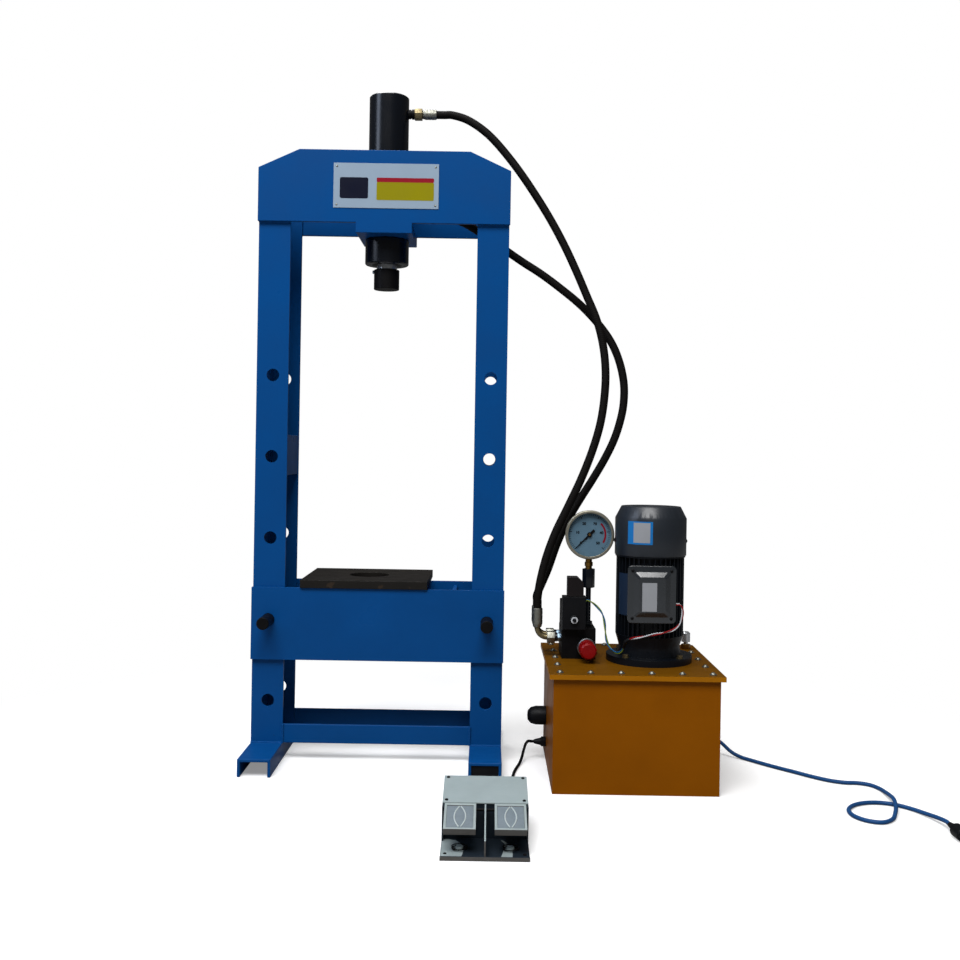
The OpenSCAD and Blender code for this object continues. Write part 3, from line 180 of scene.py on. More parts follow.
@dataclass(frozen=True)
class Finish:
    """A real material and surface, as a node material made once."""

    name: str
    colour: str
    shade: str
    roughness: float
    metallic: float = 0.0
    mottle_mm: float = 80.0
    mottle: float = 0.5
    grain_mm: float = 2.0
    grain_depth_mm: float = 0.05
    rough_swing: float = 0.08
    specular: float = 0.25
    coat: float = 0.0
    coat_roughness: float = 0.12
    place: Place = Place.OBJECT

    def material(self) -> bpy.types.Material:
        """Return the finish's material, and build it the first time."""
        found = bpy.data.materials.get(self.name)
        if found:
            return found
        made = bpy.data.materials.new(self.name)
        tree = empty_tree(made)
        shader = add_node(tree, "ShaderNodeBsdfPrincipled", {
            "Metallic": self.metallic, "Specular IOR Level": self.specular,
            "Coat Weight": self.coat, "Coat Roughness": self.coat_roughness,
        })
        spot = add_node(tree, "ShaderNodeTexCoord").outputs[self.place.value]
        self.paint(tree, shader, spot)
        add_node(tree, "ShaderNodeOutputMaterial", {"Surface": shader.outputs[0]})
        made.diffuse_color = linear(self.colour)
        return made

    def noise(self, tree: Tree, spot: Socket, size_mm: float, detail: float = 4.0) -> Socket:
        """Return a noise pattern whose features are about size_mm across."""
        return add_node(
            tree,
            "ShaderNodeTexNoise",
            {"Vector": spot, "Scale": 1.0 / (size_mm * MM), "Detail": detail, "Roughness": 0.55},
        ).outputs["Fac"]

    def spread(self, tree: Tree, value: Socket, low: float, high: float) -> Socket:
        """Return a noise value stretched from its middle range to low and high."""
        return add_node(
            tree,
            "ShaderNodeMapRange",
            {"Value": value, "From Min": 0.3, "From Max": 0.7, "To Min": low, "To Max": high},
        ).outputs["Result"]

    def mix(
        self,
        tree: Tree,
        factor: Socket | float,
        first: Socket | tuple[float, ...],
        second: Socket | tuple[float, ...],
    ) -> Socket:
        """Return first and second mixed as colours by factor."""
        return add_node(
            tree, "ShaderNodeMix", {0: factor, 6: first, 7: second}, data_type="RGBA"
        ).outputs[2]

    def vary(self, tree: Tree, shader: bpy.types.Node, wide: Socket) -> None:
        """Let a wide pattern vary the colour and the roughness."""
        amount = self.spread(tree, wide, 0.0, self.mottle)
        colour = self.mix(tree, amount, linear(self.colour), linear(self.shade))
        tree.links.new(colour, shader.inputs["Base Color"])
        low = self.roughness - self.rough_swing
        high = self.roughness + self.rough_swing
        tree.links.new(self.spread(tree, wide, low, high), shader.inputs["Roughness"])

    def emboss(
        self, tree: Tree, shader: bpy.types.Node, height: Socket, depth_mm: float, strength: float = 1.0
    ) -> None:
        """Let a pattern stand out as a fine relief."""
        bump = add_node(tree, "ShaderNodeBump", {
            "Height": height, "Distance": depth_mm * MM, "Strength": strength})
        tree.links.new(bump.outputs[0], shader.inputs["Normal"])

    def paint(self, tree: Tree, shader: bpy.types.Node, spot: Socket) -> None:
        """Link colour, roughness and relief to the shader.

        Args:
            tree: The material's node tree.
            shader: The principled shader.
            spot: Coordinates in metres.
        """
        self.vary(tree, shader, self.noise(tree, spot, self.mottle_mm))
        self.emboss(tree, shader, self.noise(tree, spot, self.grain_mm, 2.0), self.grain_depth_mm)


@dataclass(frozen=True)
class WornPaint(Finish):
    """Enamel or mill scale on steel: slightly uneven, with a few chips."""

    chip: str = "#2a2f36"
    chip_mm: float = 26.0
    chip_level: float = 0.735
    chip_edge: float = 0.02

    def paint(self, tree: Tree, shader: bpy.types.Node, spot: Socket) -> None:
        """Paint the coat, then break it with a few chips."""
        super().paint(tree, shader, spot)
        base = shader.inputs["Base Color"]
        chips = add_node(tree, "ShaderNodeMapRange", {
            "Value": self.noise(tree, spot, self.chip_mm, 9.0),
            "From Min": self.chip_level, "From Max": self.chip_level + self.chip_edge,
        })
        coat = base.links[0].from_socket
        tree.links.new(self.mix(tree, chips.outputs["Result"], coat, linear(self.chip)), base)


@dataclass(frozen=True)
class WrappedHose(Finish):
    """Rubber hose with the fine helical ridges that its cloth wrap leaves in the cover."""

    place: Place = Place.SURFACE
    pitch_mm: float = 5.0
    ridge_mm: float = 0.35

    def paint(self, tree: Tree, shader: bpy.types.Node, spot: Socket) -> None:
        """Wind ridges round the hose along its own length."""
        along = add_node(tree, "ShaderNodeSeparateXYZ", {0: spot}).outputs
        turns = math_node(tree, "MULTIPLY", along["Y"], 2 * math.pi / (self.pitch_mm * MM))
        around = math_node(tree, "MULTIPLY", along["X"], 2 * math.pi)
        wave = math_node(tree, "SINE", math_node(tree, "ADD", turns, around))
        place = add_node(tree, "ShaderNodeTexCoord").outputs["Object"]
        self.vary(tree, shader, self.noise(tree, place, self.mottle_mm))
        self.emboss(tree, shader, wave, self.ridge_mm, 0.5)


@dataclass(frozen=True)
class ClearGlass(Finish):
    """Flat window glass: clear from the front, with reflections that rise towards the edge."""

    alpha: float = 0.1

    def paint(self, tree: Tree, shader: bpy.types.Node, spot: Socket) -> None:
        """Set a clear coat that lets most light through, with faint smears."""
        shader.inputs["Base Color"].default_value = linear(self.colour)
        shader.inputs["Alpha"].default_value = self.alpha
        smear = self.noise(tree, spot, self.mottle_mm)
        tree.links.new(
            self.spread(tree, smear, self.roughness, self.roughness + self.rough_swing),
            shader.inputs["Roughness"],
        )


class Finishes:
    """Every finish on the machine."""

    # Sprayed enamel: an even, soft gloss with slight mottling, faint orange peel and a few chips
    BLUE = WornPaint("blue_gloss_enamel", "#074683", "#063c72", 0.34, mottle_mm=180, grain_mm=5,
                     grain_depth_mm=0.1, specular=0.08)
    AMBER = WornPaint("amber_gloss_enamel", "#8a4d00", "#7a4200", 0.38, mottle_mm=120, grain_mm=4,
                      grain_depth_mm=0.1, specular=0.06, chip="#3a2200")
    # The lid's top is painted darker than the shell as painted shade, and has more chips
    AMBER_LID = WornPaint("amber_lid_painted_shade", "#6a4304", "#543508", 0.46, mottle_mm=70, grain_mm=4,
                          grain_depth_mm=0.1, specular=0.03, chip="#33220a", chip_level=0.68)
    # The lid's folded edge is painted brighter than its top as painted light, with fewer chips
    AMBER_EDGE = WornPaint("amber_edge_painted_light", "#a06400", "#8e5600", 0.36, mottle_mm=70, grain_mm=4,
                           grain_depth_mm=0.1, specular=0.12, chip="#4a2e04")
    # Cast and pressed motor parts in near-black enamel, with a cool sheen
    MOTOR = Finish("grey_motor_enamel", "#0e1218", "#0a0d11", 0.36, mottle_mm=60, grain_mm=3,
                   grain_depth_mm=0.15, specular=0.2)
    COWL = Finish("grey_cowl_enamel", "#20252c", "#1a1f25", 0.36, mottle_mm=90, grain_mm=4,
                  grain_depth_mm=0.06, specular=0.5)
    TERMINAL = Finish("terminal_box_enamel", "#24282c", "#1d2125", 0.2, mottle_mm=50, grain_mm=3,
                      grain_depth_mm=0.06, specular=0.7, coat=0.3)
    # Black paint on turned steel keeps the steel's smooth, narrow highlights
    BLACK = Finish("black_painted_steel", "#0a0e15", "#07090d", 0.24, mottle_mm=50, grain_mm=2,
                   grain_depth_mm=0.01, specular=0.35, rough_swing=0.03)
    # Black oxide is duller, with brown patches where oil has dried
    OXIDE = Finish("black_oxide_steel", "#0d0d0f", "#131110", 0.46, mottle_mm=20, grain_mm=1.2,
                   specular=0.08)
    SCALE = WornPaint("mill_scale_steel", "#1c1916", "#12100e", 0.55, mottle_mm=45, grain_mm=1.5,
                      grain_depth_mm=0.3, specular=0.15, chip="#30261d", chip_mm=30, chip_level=0.66)
    # Bare and plated metals: plating is pale and a little cloudy, turned metal brighter and cleaner
    CHROME = Finish("hard_chrome", "#c4c7ca", "#aeb2b6", 0.16, 0.6, mottle_mm=30, rough_swing=0.04,
                    grain_mm=0.8, grain_depth_mm=0.01)
    ZINC = Finish("zinc_plate", "#94948b", "#7e7e73", 0.48, 1.0, mottle_mm=9, grain_mm=1)
    BLUE_ZINC = Finish("blue_zinc_plate", "#8ba0b2", "#788d9f", 0.46, 1.0, mottle_mm=9, grain_mm=1)
    YELLOW_ZINC = Finish("yellow_zinc_plate", "#8f8260", "#736850", 0.46, 1.0, mottle_mm=8, grain_mm=1)
    STEEL = Finish("turned_steel", "#8f9296", "#7a7d80", 0.36, 1.0, mottle_mm=12, grain_mm=0.8)
    BRASS = Finish("turned_brass", "#9a7436", "#7d5a26", 0.36, 1.0, mottle_mm=10, grain_mm=0.8)
    CASTING = Finish("pump_casting", "#55595e", "#44484c", 0.6, 0.4, mottle_mm=20, grain_mm=2,
                     grain_depth_mm=0.4)
    COPPER = Finish("wound_copper", "#7c4526", "#5b3019", 0.5, 0.6, mottle_mm=6, grain_mm=2,
                    grain_depth_mm=0.4)
    # Moulded plastics and rubbers: fine grain, soft broad highlights
    PLASTIC = Finish("moulded_black_plastic", "#0b0c0f", "#101013", 0.48, mottle_mm=25, grain_mm=0.9,
                     specular=0.15)
    BROWN_PLASTIC = Finish("smoked_connector_plastic", "#171213", "#100d0e", 0.34, mottle_mm=18,
                           grain_mm=1, specular=0.2)
    RED = Finish("red_moulded_plastic", "#820406", "#6d0305", 0.32, mottle_mm=18, grain_mm=1.5,
                 specular=0.2)
    # Hoses, cords and wires are duller, with fine ridges wound round them
    HOSE = WrappedHose("wrapped_hose_rubber", "#100e0d", "#151312", 0.58, mottle_mm=40, ridge_mm=0.2,
                       specular=0.06)
    CORD = WrappedHose("cord_rubber", "#0c0c0d", "#131314", 0.55, pitch_mm=9, ridge_mm=0.08,
                       mottle_mm=40, specular=0.04)
    MAINS = WrappedHose("blue_cord_sheath", "#1c4a7e", "#163c68", 0.46, pitch_mm=14, ridge_mm=0.1,
                        mottle_mm=50, specular=0.15)
    RED_WIRE = WrappedHose("red_wire", "#8a0a10", "#74080c", 0.45, ridge_mm=0.03, specular=0.15)
    WHITE_WIRE = WrappedHose("white_wire", "#b9bcc0", "#a5a8ac", 0.45, ridge_mm=0.03, specular=0.15)
    GREEN_WIRE = WrappedHose("yellow_green_wire", "#7c8420", "#3f6a2a", 0.45, ridge_mm=0.03,
                             mottle_mm=9, mottle=1.0, specular=0.15)
    BLUE_WIRE = WrappedHose("blue_wire", "#12507f", "#0e416a", 0.45, ridge_mm=0.03, specular=0.15)
    # Printed faces: flat colour under a thin clear film
    # The white data plate is painted the grey-blue of a white sheet in shade, as painted shade
    WHITE_PRINT = Finish("white_sheet_painted_shade", "#8d9eae", "#8494a4", 0.4, grain_mm=3, specular=0.12)
    GREY_PRINT = Finish("off_white_print", "#96989c", "#888a8e", 0.4, specular=0.12)
    SLATE_PRINT = Finish("slate_nameplate", "#1a2a40", "#142133", 0.36)
    NAVY_PRINT = Finish("navy_print", "#0c1024", "#0a0d1d", 0.4, specular=0.12)
    RED_PRINT = Finish("red_print", "#8c1022", "#7c0e1d", 0.4, specular=0.12)
    YELLOW_PRINT = Finish("yellow_print", "#8a8204", "#7e7602", 0.4, specular=0.12)
    SKY_PRINT = Finish("sky_blue_print", "#1e70b4", "#1a65a4", 0.38, specular=0.12)
    BLACK_PRINT = Finish("black_print", "#0c0d10", "#121316", 0.5, specular=0.12)
    DIAL = Finish("pale_blue_dial", "#5f7d90", "#557285", 0.5, mottle_mm=60, specular=0.12)
    # The gauge's rim shines softly, and its glass gives only faint reflections
    BEZEL = Finish("rolled_steel_bezel", "#a39f90", "#86826f", 0.36, 0.8, mottle_mm=20)
    GLASS = ClearGlass("gauge_glass_clear", "#20262c", "#20262c", 0.03, mottle_mm=40, rough_swing=0.03,
                       alpha=0.04)
    # The pedal has satin powder coat and cast metal and matt rubber pads; its base and the sides of its
    # treads are painted dark as painted shade
    # The base is painted dark slate as painted shade over what is a pale coat
    PEDAL_BASE = Finish("pedal_base_painted_shade", "#1f2831", "#182028", 0.42, mottle_mm=40, grain_mm=1.2,
                        grain_depth_mm=0.08)
    PEDAL_COVER = Finish("pale_powder_coat", "#95a1a2", "#8b9797", 0.42, mottle_mm=50, grain_mm=1.2,
                         grain_depth_mm=0.08)
    TREAD = Finish("cast_aluminium_tread", "#98a3a3", "#8b9696", 0.44, mottle_mm=20, grain_mm=1.5)
    TREAD_PAD = Finish("grey_ribbed_rubber", "#747f86", "#6a757c", 0.6, mottle_mm=12, grain_mm=1.2,
                       grain_depth_mm=0.12)
    # The sides of the treads and the base's front lip: the pale coat painted dark as painted shade
    SKIRT = Finish("pale_coat_side_painted_shade", "#585653", "#4b4947", 0.5, mottle_mm=15, grain_mm=1.2)
    # Shoes have rubbed the ridges bright
    RIDGE = Finish("rubbed_aluminium_ridge", "#b6bfbf", "#a4adad", 0.4, mottle_mm=12, grain_mm=1)


# Mesh helpers


def new_piece(
    name: str,
    mesh: bpy.types.Mesh | Shape,
    finish: Finish,
    body: str = FRAME_BODY,
    smooth_deg: float = 38.0,
) -> Piece:
    """Make a finished piece from a mesh and let it ride on a body.

    Args:
        name: The piece's name.
        mesh: A mesh, or a bmesh that is freed here.
        finish: The surface it shows.
        body: The body that it moves with.
        smooth_deg: Edges sharper than this stay sharp.

    Returns:
        The new object.
    """
    if isinstance(mesh, Shape):
        data = bpy.data.meshes.new(name)
        mesh.to_mesh(data)
        mesh.free()
    else:
        data = mesh
        data.name = name
    data.polygons.foreach_set("use_smooth", [True] * len(data.polygons))
    data.set_sharp_from_angle(angle=math.radians(smooth_deg))
    data.materials.clear()
    data.materials.append(finish.material())
    piece = bpy.data.objects.new(name, data)
    bpy.context.scene.collection.objects.link(piece)
    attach(piece, body)
    return piece


def ease_edges(bm: Shape, width_mm: float, segments: int = 2, angle_deg: float = 32.0) -> None:
    """Bevel every edge that is sharper than an angle.

    Args:
        bm: The mesh to change.
        width_mm: Width of the bevel.
        segments: Steps in the bevel.
        angle_deg: Edges flatter than this stay as they are.
    """
    limit = math.radians(angle_deg)
    edges = [e for e in bm.edges if e.is_manifold and e.calc_face_angle(0.0) > limit]
    bmesh.ops.bevel(
        bm, geom=edges, offset=width_mm * MM, offset_type="OFFSET", segments=segments, profile=0.5,
        affect="EDGES", clamp_overlap=True,
    )


def weighted(piece: Piece) -> Piece:
    """Let large faces set the shading, so that flat plates look flat up to their eased edges."""
    modifier = piece.modifiers.new("flat_faces", "WEIGHTED_NORMAL")
    modifier.keep_sharp = True
    return piece


def box_mesh(low: Vector, high: Vector, ease_mm: float) -> Shape:
    """Return a block between two corners with eased edges."""
    bm = bmesh.new()
    place = Matrix.Translation((low + high) / 2) @ Matrix.Diagonal((*(high - low), 1))
    bmesh.ops.create_cube(bm, size=1.0, matrix=place)
    ease_edges(bm, ease_mm)
    return bm


def turn_to(axis: Vector) -> Matrix:
    """Return the turn that takes the Z axis to another axis."""
    return axis.normalized().to_track_quat("Z", "Y").to_matrix().to_4x4()


def polar(degrees: float) -> Vector:
    """Return the level direction at an angle from the X axis."""
    angle = math.radians(degrees)
    return Vector((math.cos(angle), math.sin(angle), 0))


def middle(box: Box) -> Vector:
    """Return the middle of a box."""
    return (box[0] + box[1]) / 2


def front_of(box: Box) -> Vector:
    """Return the middle of a box's front face."""
    spot = middle(box)
    spot.y = box[0].y
    return spot


def corner_spots(box: Box, inset_mm: float, y: float) -> list[Vector]:
    """Return a spot near each corner of an upright panel."""
    low, high = box
    inset = inset_mm * MM
    return [Vector((x, y, z)) for x in (low.x + inset, high.x - inset)
            for z in (low.z + inset, high.z - inset)]


def lathe_mesh(profile: Profile, centre: Vector, axis: Vector, steps: int) -> Shape:
    """Turn a profile about an axis.

    Args:
        profile: Radius and height pairs in millimetres, from the axis round to the axis, or a closed
            ring of points where no radius is zero.
        centre: Where height zero is, in metres.
        axis: Direction of the height.
        steps: Sides of the turned shape.

    Returns:
        A closed mesh.
    """
    bm = bmesh.new()
    place = Matrix.Translation(centre) @ turn_to(axis)
    closed = all(r > 0 for r, _ in profile)
    rings = []
    for radius, height in profile:
        if radius <= 0:
            rings.append([bm.verts.new(place @ Vector((0, 0, height * MM)))])
            continue
        ring = []
        for i in range(steps):
            angle = 2 * math.pi * i / steps
            spot = Vector((radius * MM * math.cos(angle), radius * MM * math.sin(angle), height * MM))
            ring.append(bm.verts.new(place @ spot))
        rings.append(ring)
    pairs = list(zip(rings, rings[1:]))
    if closed:
        pairs.append((rings[-1], rings[0]))
    for first, second in pairs:
        for i in range(steps):
            n = (i + 1) % steps
            quad = (first[i % len(first)], first[n % len(first)],
                    second[n % len(second)], second[i % len(second)])
            corners = list(dict.fromkeys(quad))
            if len(corners) > 2:
                bm.faces.new(corners)
    bmesh.ops.recalc_face_normals(bm, faces=bm.faces)
    return bm


def smooth_route(route: Sequence[Point], steps: int) -> list[Vector]:
    """Return points along a smooth curve through a route.

    Args:
        route: Points in press millimetres.
        steps: Points between each pair of the route.

    Returns:
        Points in metres.
    """
    p = [at(*point) for point in route]
    line = []
    for i in range(len(p) - 1):
        a, b, c, d = p[max(i - 1, 0)], p[i], p[i + 1], p[min(i + 2, len(p) - 1)]
        for k in range(steps):
            t = k / steps
            cubic = (3 * b - a - 3 * c + d) * t ** 3
            line.append((2 * b + (c - a) * t + (2 * a - 5 * b + 4 * c - d) * t * t + cubic) / 2)
    line.append(p[-1])
    return line


def tube_mesh(line: Sequence[Vector], radii: float | Sequence[float], sides: int = 20) -> bpy.types.Mesh:
    """Sweep a round section along a line, with a UV map in turns and metres.

    Args:
        line: Points in metres.
        radii: One radius, or one for each point, in metres.
        sides: Sides of the section.

    Returns:
        A closed mesh.
    """
    sizes = [radii] * len(line) if isinstance(radii, float) else list(radii)
    bm = bmesh.new()
    layer = bm.loops.layers.uv.new("along")
    heading = (line[1] - line[0]).normalized()
    side = heading.orthogonal().normalized()
    rings, lengths, length = [], [], 0.0
    for i, point in enumerate(line):
        ahead = (line[min(i + 1, len(line) - 1)] - line[max(i - 1, 0)]).normalized()
        side = (side - ahead * side.dot(ahead)).normalized()
        other = ahead.cross(side)
        if i:
            length += (point - line[i - 1]).length
        lengths.append(length)
        rings.append([
            bm.verts.new(point + sizes[i] * (math.cos(2 * math.pi * s / sides) * side
                                             + math.sin(2 * math.pi * s / sides) * other))
            for s in range(sides)
        ])
    for i in range(len(rings) - 1):
        for s in range(sides):
            n = (s + 1) % sides
            face = bm.faces.new((rings[i][s], rings[i][n], rings[i + 1][n], rings[i + 1][s]))
            marks = ((s, i), (s + 1, i), (s + 1, i + 1), (s, i + 1))
            for loop, (turn, step) in zip(face.loops, marks):
                loop[layer].uv = (turn / sides, lengths[step])
    bm.faces.new(list(reversed(rings[0])))
    bm.faces.new(rings[-1])
    mesh = bpy.data.meshes.new("tube")
    bm.to_mesh(mesh)
    bm.free()
    return mesh


def rounded_outline(
    first: Vector, last: Vector, corner_mm: float, steps: int = 6
) -> list[tuple[float, float]]:
    """Return a rounded rectangle's outline in X and Z, between two corners in metres."""
    r = corner_mm * MM
    outline = []
    for turn, x, z in ((0, last.x - r, last.z - r), (90, first.x + r, last.z - r),
                       (180, first.x + r, first.z + r), (270, last.x - r, first.z + r)):
        for i in range(steps + 1):
            angle = math.radians(turn + 90 * i / steps)
            outline.append((x + r * math.cos(angle), z + r * math.sin(angle)))
    return outline


def loft_mesh(rings: Sequence[Sequence[Vector]]) -> Shape:
    """Skin rings of points into a closed mesh with flat ends.

    Args:
        rings: Rings in order, with as many points in each.

    Returns:
        A closed mesh.
    """
    bm = bmesh.new()
    rows = [[bm.verts.new(point) for point in ring] for ring in rings]
    for first, second in zip(rows, rows[1:]):
        for i in range(len(first)):
            n = (i + 1) % len(first)
            bm.faces.new((first[i], first[n], second[n], second[i]))
    bm.faces.new(rows[0])
    bm.faces.new(list(reversed(rows[-1])))
    bmesh.ops.recalc_face_normals(bm, faces=bm.faces)
    return bm


def field_mesh(first: Vector, last: Vector, corner_mm: float) -> Shape:
    """Return a thin rounded panel that faces the front.

    Args:
        first: Lowest corner.
        last: Highest corner.
        corner_mm: Radius of the corners.

    Returns:
        The panel.
    """
    outline = rounded_outline(first, last, corner_mm)
    return loft_mesh([[Vector((x, y, z)) for x, z in outline] for y in (first.y, last.y)])


def curved_field_mesh(
    axis: Vector, radius: float, angles: tuple[float, float], heights: tuple[float, float],
    thick_mm: float, steps: int = 24,
) -> Shape:
    """Return a thin panel that lies on an upright cylinder.

    Args:
        axis: A point on the cylinder's axis.
        radius: Distance of the panel's middle from the axis, in metres.
        angles: Where it starts and ends, in degrees.
        heights: Its lower and upper edges, in metres.
        thick_mm: Its thickness.
        steps: Steps round the cylinder.

    Returns:
        The panel.
    """
    rows = []
    for i in range(steps + 1):
        out = polar(angles[0] + (angles[1] - angles[0]) * i / steps)
        near, far = (axis + out * (radius + k * thick_mm * MM / 2) for k in (-1, 1))
        rows.append([Vector((p.x, p.y, z)) for p, z in (
            (near, heights[0]), (far, heights[0]), (far, heights[1]), (near, heights[1]))])
    return loft_mesh(rows)


def rod_profile(radius: float, length: float, ease: float) -> list[tuple[float, float]]:
    """Return the profile of a rod with eased ends."""
    return [(0, 0), (radius - ease, 0), (radius, ease), (radius, length - ease),
            (radius - ease, length), (0, length)]


def ring_profile(radius: float, length: float) -> list[tuple[float, float]]:
    """Return the profile of a coupling with a groove round its middle."""
    return [(0, 0), (radius - 1.6, 0), (radius - 0.8, 0.8), (radius - 0.8, length * 0.5),
            (radius - 2.6, length * 0.54), (radius - 2.6, length * 0.6), (radius, length * 0.64),
            (radius, length - 0.8), (radius - 0.8, length), (0, length)]


def ferrule_profile(radius: float, length: float, crimps: int = 3) -> list[tuple[float, float]]:
    """Return the profile of a hose ferrule with crimp rings."""
    profile = [(0, 0), (radius - 3, 0), (radius - 2, 1), (radius - 1, 6)]
    start, step = 8.0, (length - 12.0) / crimps
    for i in range(crimps):
        z = start + i * step
        profile += [(radius - 0.2, z), (radius, z + step * 0.2), (radius, z + step * 0.7),
                    (radius - 0.45, z + step * 0.86)]
    return profile + [(radius, length - 3), (radius - 1, length), (0, length)]


def hex_mesh(flats_mm: float, length_mm: float, centre: Vector, axis: Vector) -> Shape:
    """Return a hexagon bar with eased edges, turned to an axis."""
    radius = flats_mm / 2 / math.cos(math.pi / 6)
    bm = lathe_mesh(((0, 0), (radius, 0), (radius, length_mm), (0, length_mm)), centre, axis, 6)
    bmesh.ops.dissolve_limit(bm, angle_limit=math.radians(1), verts=bm.verts, edges=bm.edges)
    ease_edges(bm, 0.9)
    return bm


def number_mesh(text: str, size_mm: float, facing: Matrix, spot: Vector) -> bpy.types.Mesh:
    """Return a dial number as a thin raised print.

    Args:
        text: The digits.
        size_mm: Their height.
        facing: Place and turn of the dial.
        spot: The number's middle on the dial.

    Returns:
        The mesh.
    """
    curve = bpy.data.curves.new(f"number_{text}", "FONT")
    curve.body = text
    curve.size = size_mm * MM
    curve.offset = size_mm * MM * 0.05
    curve.extrude = PRINT_MM * MM / 2
    curve.align_x = "CENTER"
    curve.align_y = "CENTER"
    holder = bpy.data.objects.new(f"number_{text}", curve)
    bpy.context.scene.collection.objects.link(holder)
    bpy.context.view_layer.update()
    mesh = bpy.data.meshes.new_from_object(holder)
    mesh.transform(facing @ Matrix.Translation(spot + Vector((0, 0, PRINT_MM * MM / 2))))
    bpy.data.objects.remove(holder)
    return mesh


def islands(source: Piece) -> list[Box]:
    """Return the box of each separate solid in a node, from left to right.

    Args:
        source: The node's object.

    Returns:
        Lowest and highest corners.
    """
    bm = bmesh.new()
    bm.from_mesh(source.data)
    bmesh.ops.remove_doubles(bm, verts=bm.verts, dist=MERGE_M)
    left = set(bm.verts)
    boxes = []
    while left:
        stack, found = [left.pop()], []
        while stack:
            vert = stack.pop()
            found.append(vert.co.copy())
            for edge in vert.link_edges:
                other = edge.other_vert(vert)
                if other in left:
                    left.remove(other)
                    stack.append(other)
        low = Vector([min(p[k] for p in found) for k in range(3)])
        high = Vector([max(p[k] for p in found) for k in range(3)])
        boxes.append((low, high))
    bm.free()
    return sorted(boxes, key=lambda box: tuple(round(v, 5) for v in (*box[0], *box[1])))


def second_finish(
    piece: Piece, finish: Finish, chosen: Callable[[bpy.types.MeshPolygon], bool]
) -> None:
    """Give some faces of a piece a second finish.

    Args:
        piece: The piece.
        finish: The second finish.
        chosen: Tells which faces take it.
    """
    piece.data.materials.append(finish.material())
    for face in piece.data.polygons:
        if chosen(face):
            face.material_index = len(piece.data.materials) - 1


def turned_piece(
    name: str, profile: Profile, centre: Vector, axis: Vector, finish: Finish, steps: int = 48,
    body: str = FRAME_BODY,
) -> Piece:
    """Make a finished piece by turning a profile about an axis.

    Args:
        name: The piece's name.
        profile: Radius and height pairs in millimetres, as lathe_mesh takes them.
        centre: Where height zero is, in metres.
        axis: Direction of the height.
        finish: The surface it shows.
        steps: Sides of the turned shape.
        body: The body that it moves with.

    Returns:
        The new object.
    """
    return new_piece(name, lathe_mesh(profile, centre, axis, steps), finish, body)


# Repeats, made with Geometry Nodes


class Head(Enum):
    """Shapes of a fastener's head."""

    DOME = "dome"
    HEX = "hex"


class Repeat:
    """A Geometry Nodes tree that is turned into a plain mesh."""

    def start(self, name: str, sizes: dict[str, float]) -> tuple[Tree, Any]:
        """Make a tree with a geometry input and an input for each size.

        Args:
            name: The piece's name.
            sizes: Each input's name and value.

        Returns:
            The tree, and the sockets that give its inputs.
        """
        tree = bpy.data.node_groups.new(f"{name}_tree", "GeometryNodeTree")
        for way in ("INPUT", "OUTPUT"):
            tree.interface.new_socket("Geometry", in_out=way, socket_type="NodeSocketGeometry")
        for label in sizes:
            tree.interface.new_socket(label, in_out="INPUT", socket_type="NodeSocketFloat")
        return tree, add_node(tree, "NodeGroupInput").outputs

    def moved(self, tree: Tree, shape: Socket, **how: Socket) -> Socket:
        """Return a shape that is moved or scaled."""
        return add_node(tree, "GeometryNodeTransform", {"Geometry": shape, **how}).outputs[0]

    def end(self, tree: Tree, points: Socket, shape: Socket, finish: Finish, **how: Socket) -> None:
        """Set a real copy of a shape on each point, in a finish, as the tree's output."""
        spread = add_node(tree, "GeometryNodeInstanceOnPoints", {
            "Points": points, "Instance": shape, **how})
        real = add_node(tree, "GeometryNodeRealizeInstances", {0: spread.outputs[0]})
        dressed = add_node(tree, "GeometryNodeSetMaterial", {
            "Geometry": real.outputs[0], "Material": finish.material()})
        add_node(tree, "NodeGroupOutput", {0: dressed.outputs[0]})

    def bake(
        self, name: str, tree: Tree, points: Sequence[Vector],
        values: dict[str, float], finish: Finish, body: str, place: Matrix,
    ) -> Piece:
        """Run the tree on points and keep the result as a plain piece.

        Args:
            name: The piece's name.
            tree: The finished tree.
            points: Where the instances go.
            values: A value for each named input.
            finish: The surface it shows.
            body: The body that it moves with.
            place: Moves the result into place.

        Returns:
            The piece.
        """
        seed = bpy.data.meshes.new(name)
        seed.from_pydata([tuple(p) for p in points], [], [])
        holder = bpy.data.objects.new(name + "_holder", seed)
        bpy.context.scene.collection.objects.link(holder)
        modifier = holder.modifiers.new("repeat", "NODES")
        modifier.node_group = tree
        for item in tree.interface.items_tree:
            if item.in_out == "INPUT" and item.name in values:
                modifier[item.identifier] = values[item.name]
        bpy.context.view_layer.update()
        depsgraph = bpy.context.evaluated_depsgraph_get()
        mesh = bpy.data.meshes.new_from_object(holder.evaluated_get(depsgraph))
        mesh.transform(place)
        holder.modifiers.remove(modifier)
        bpy.data.objects.remove(holder)
        return new_piece(name, mesh, finish, body)


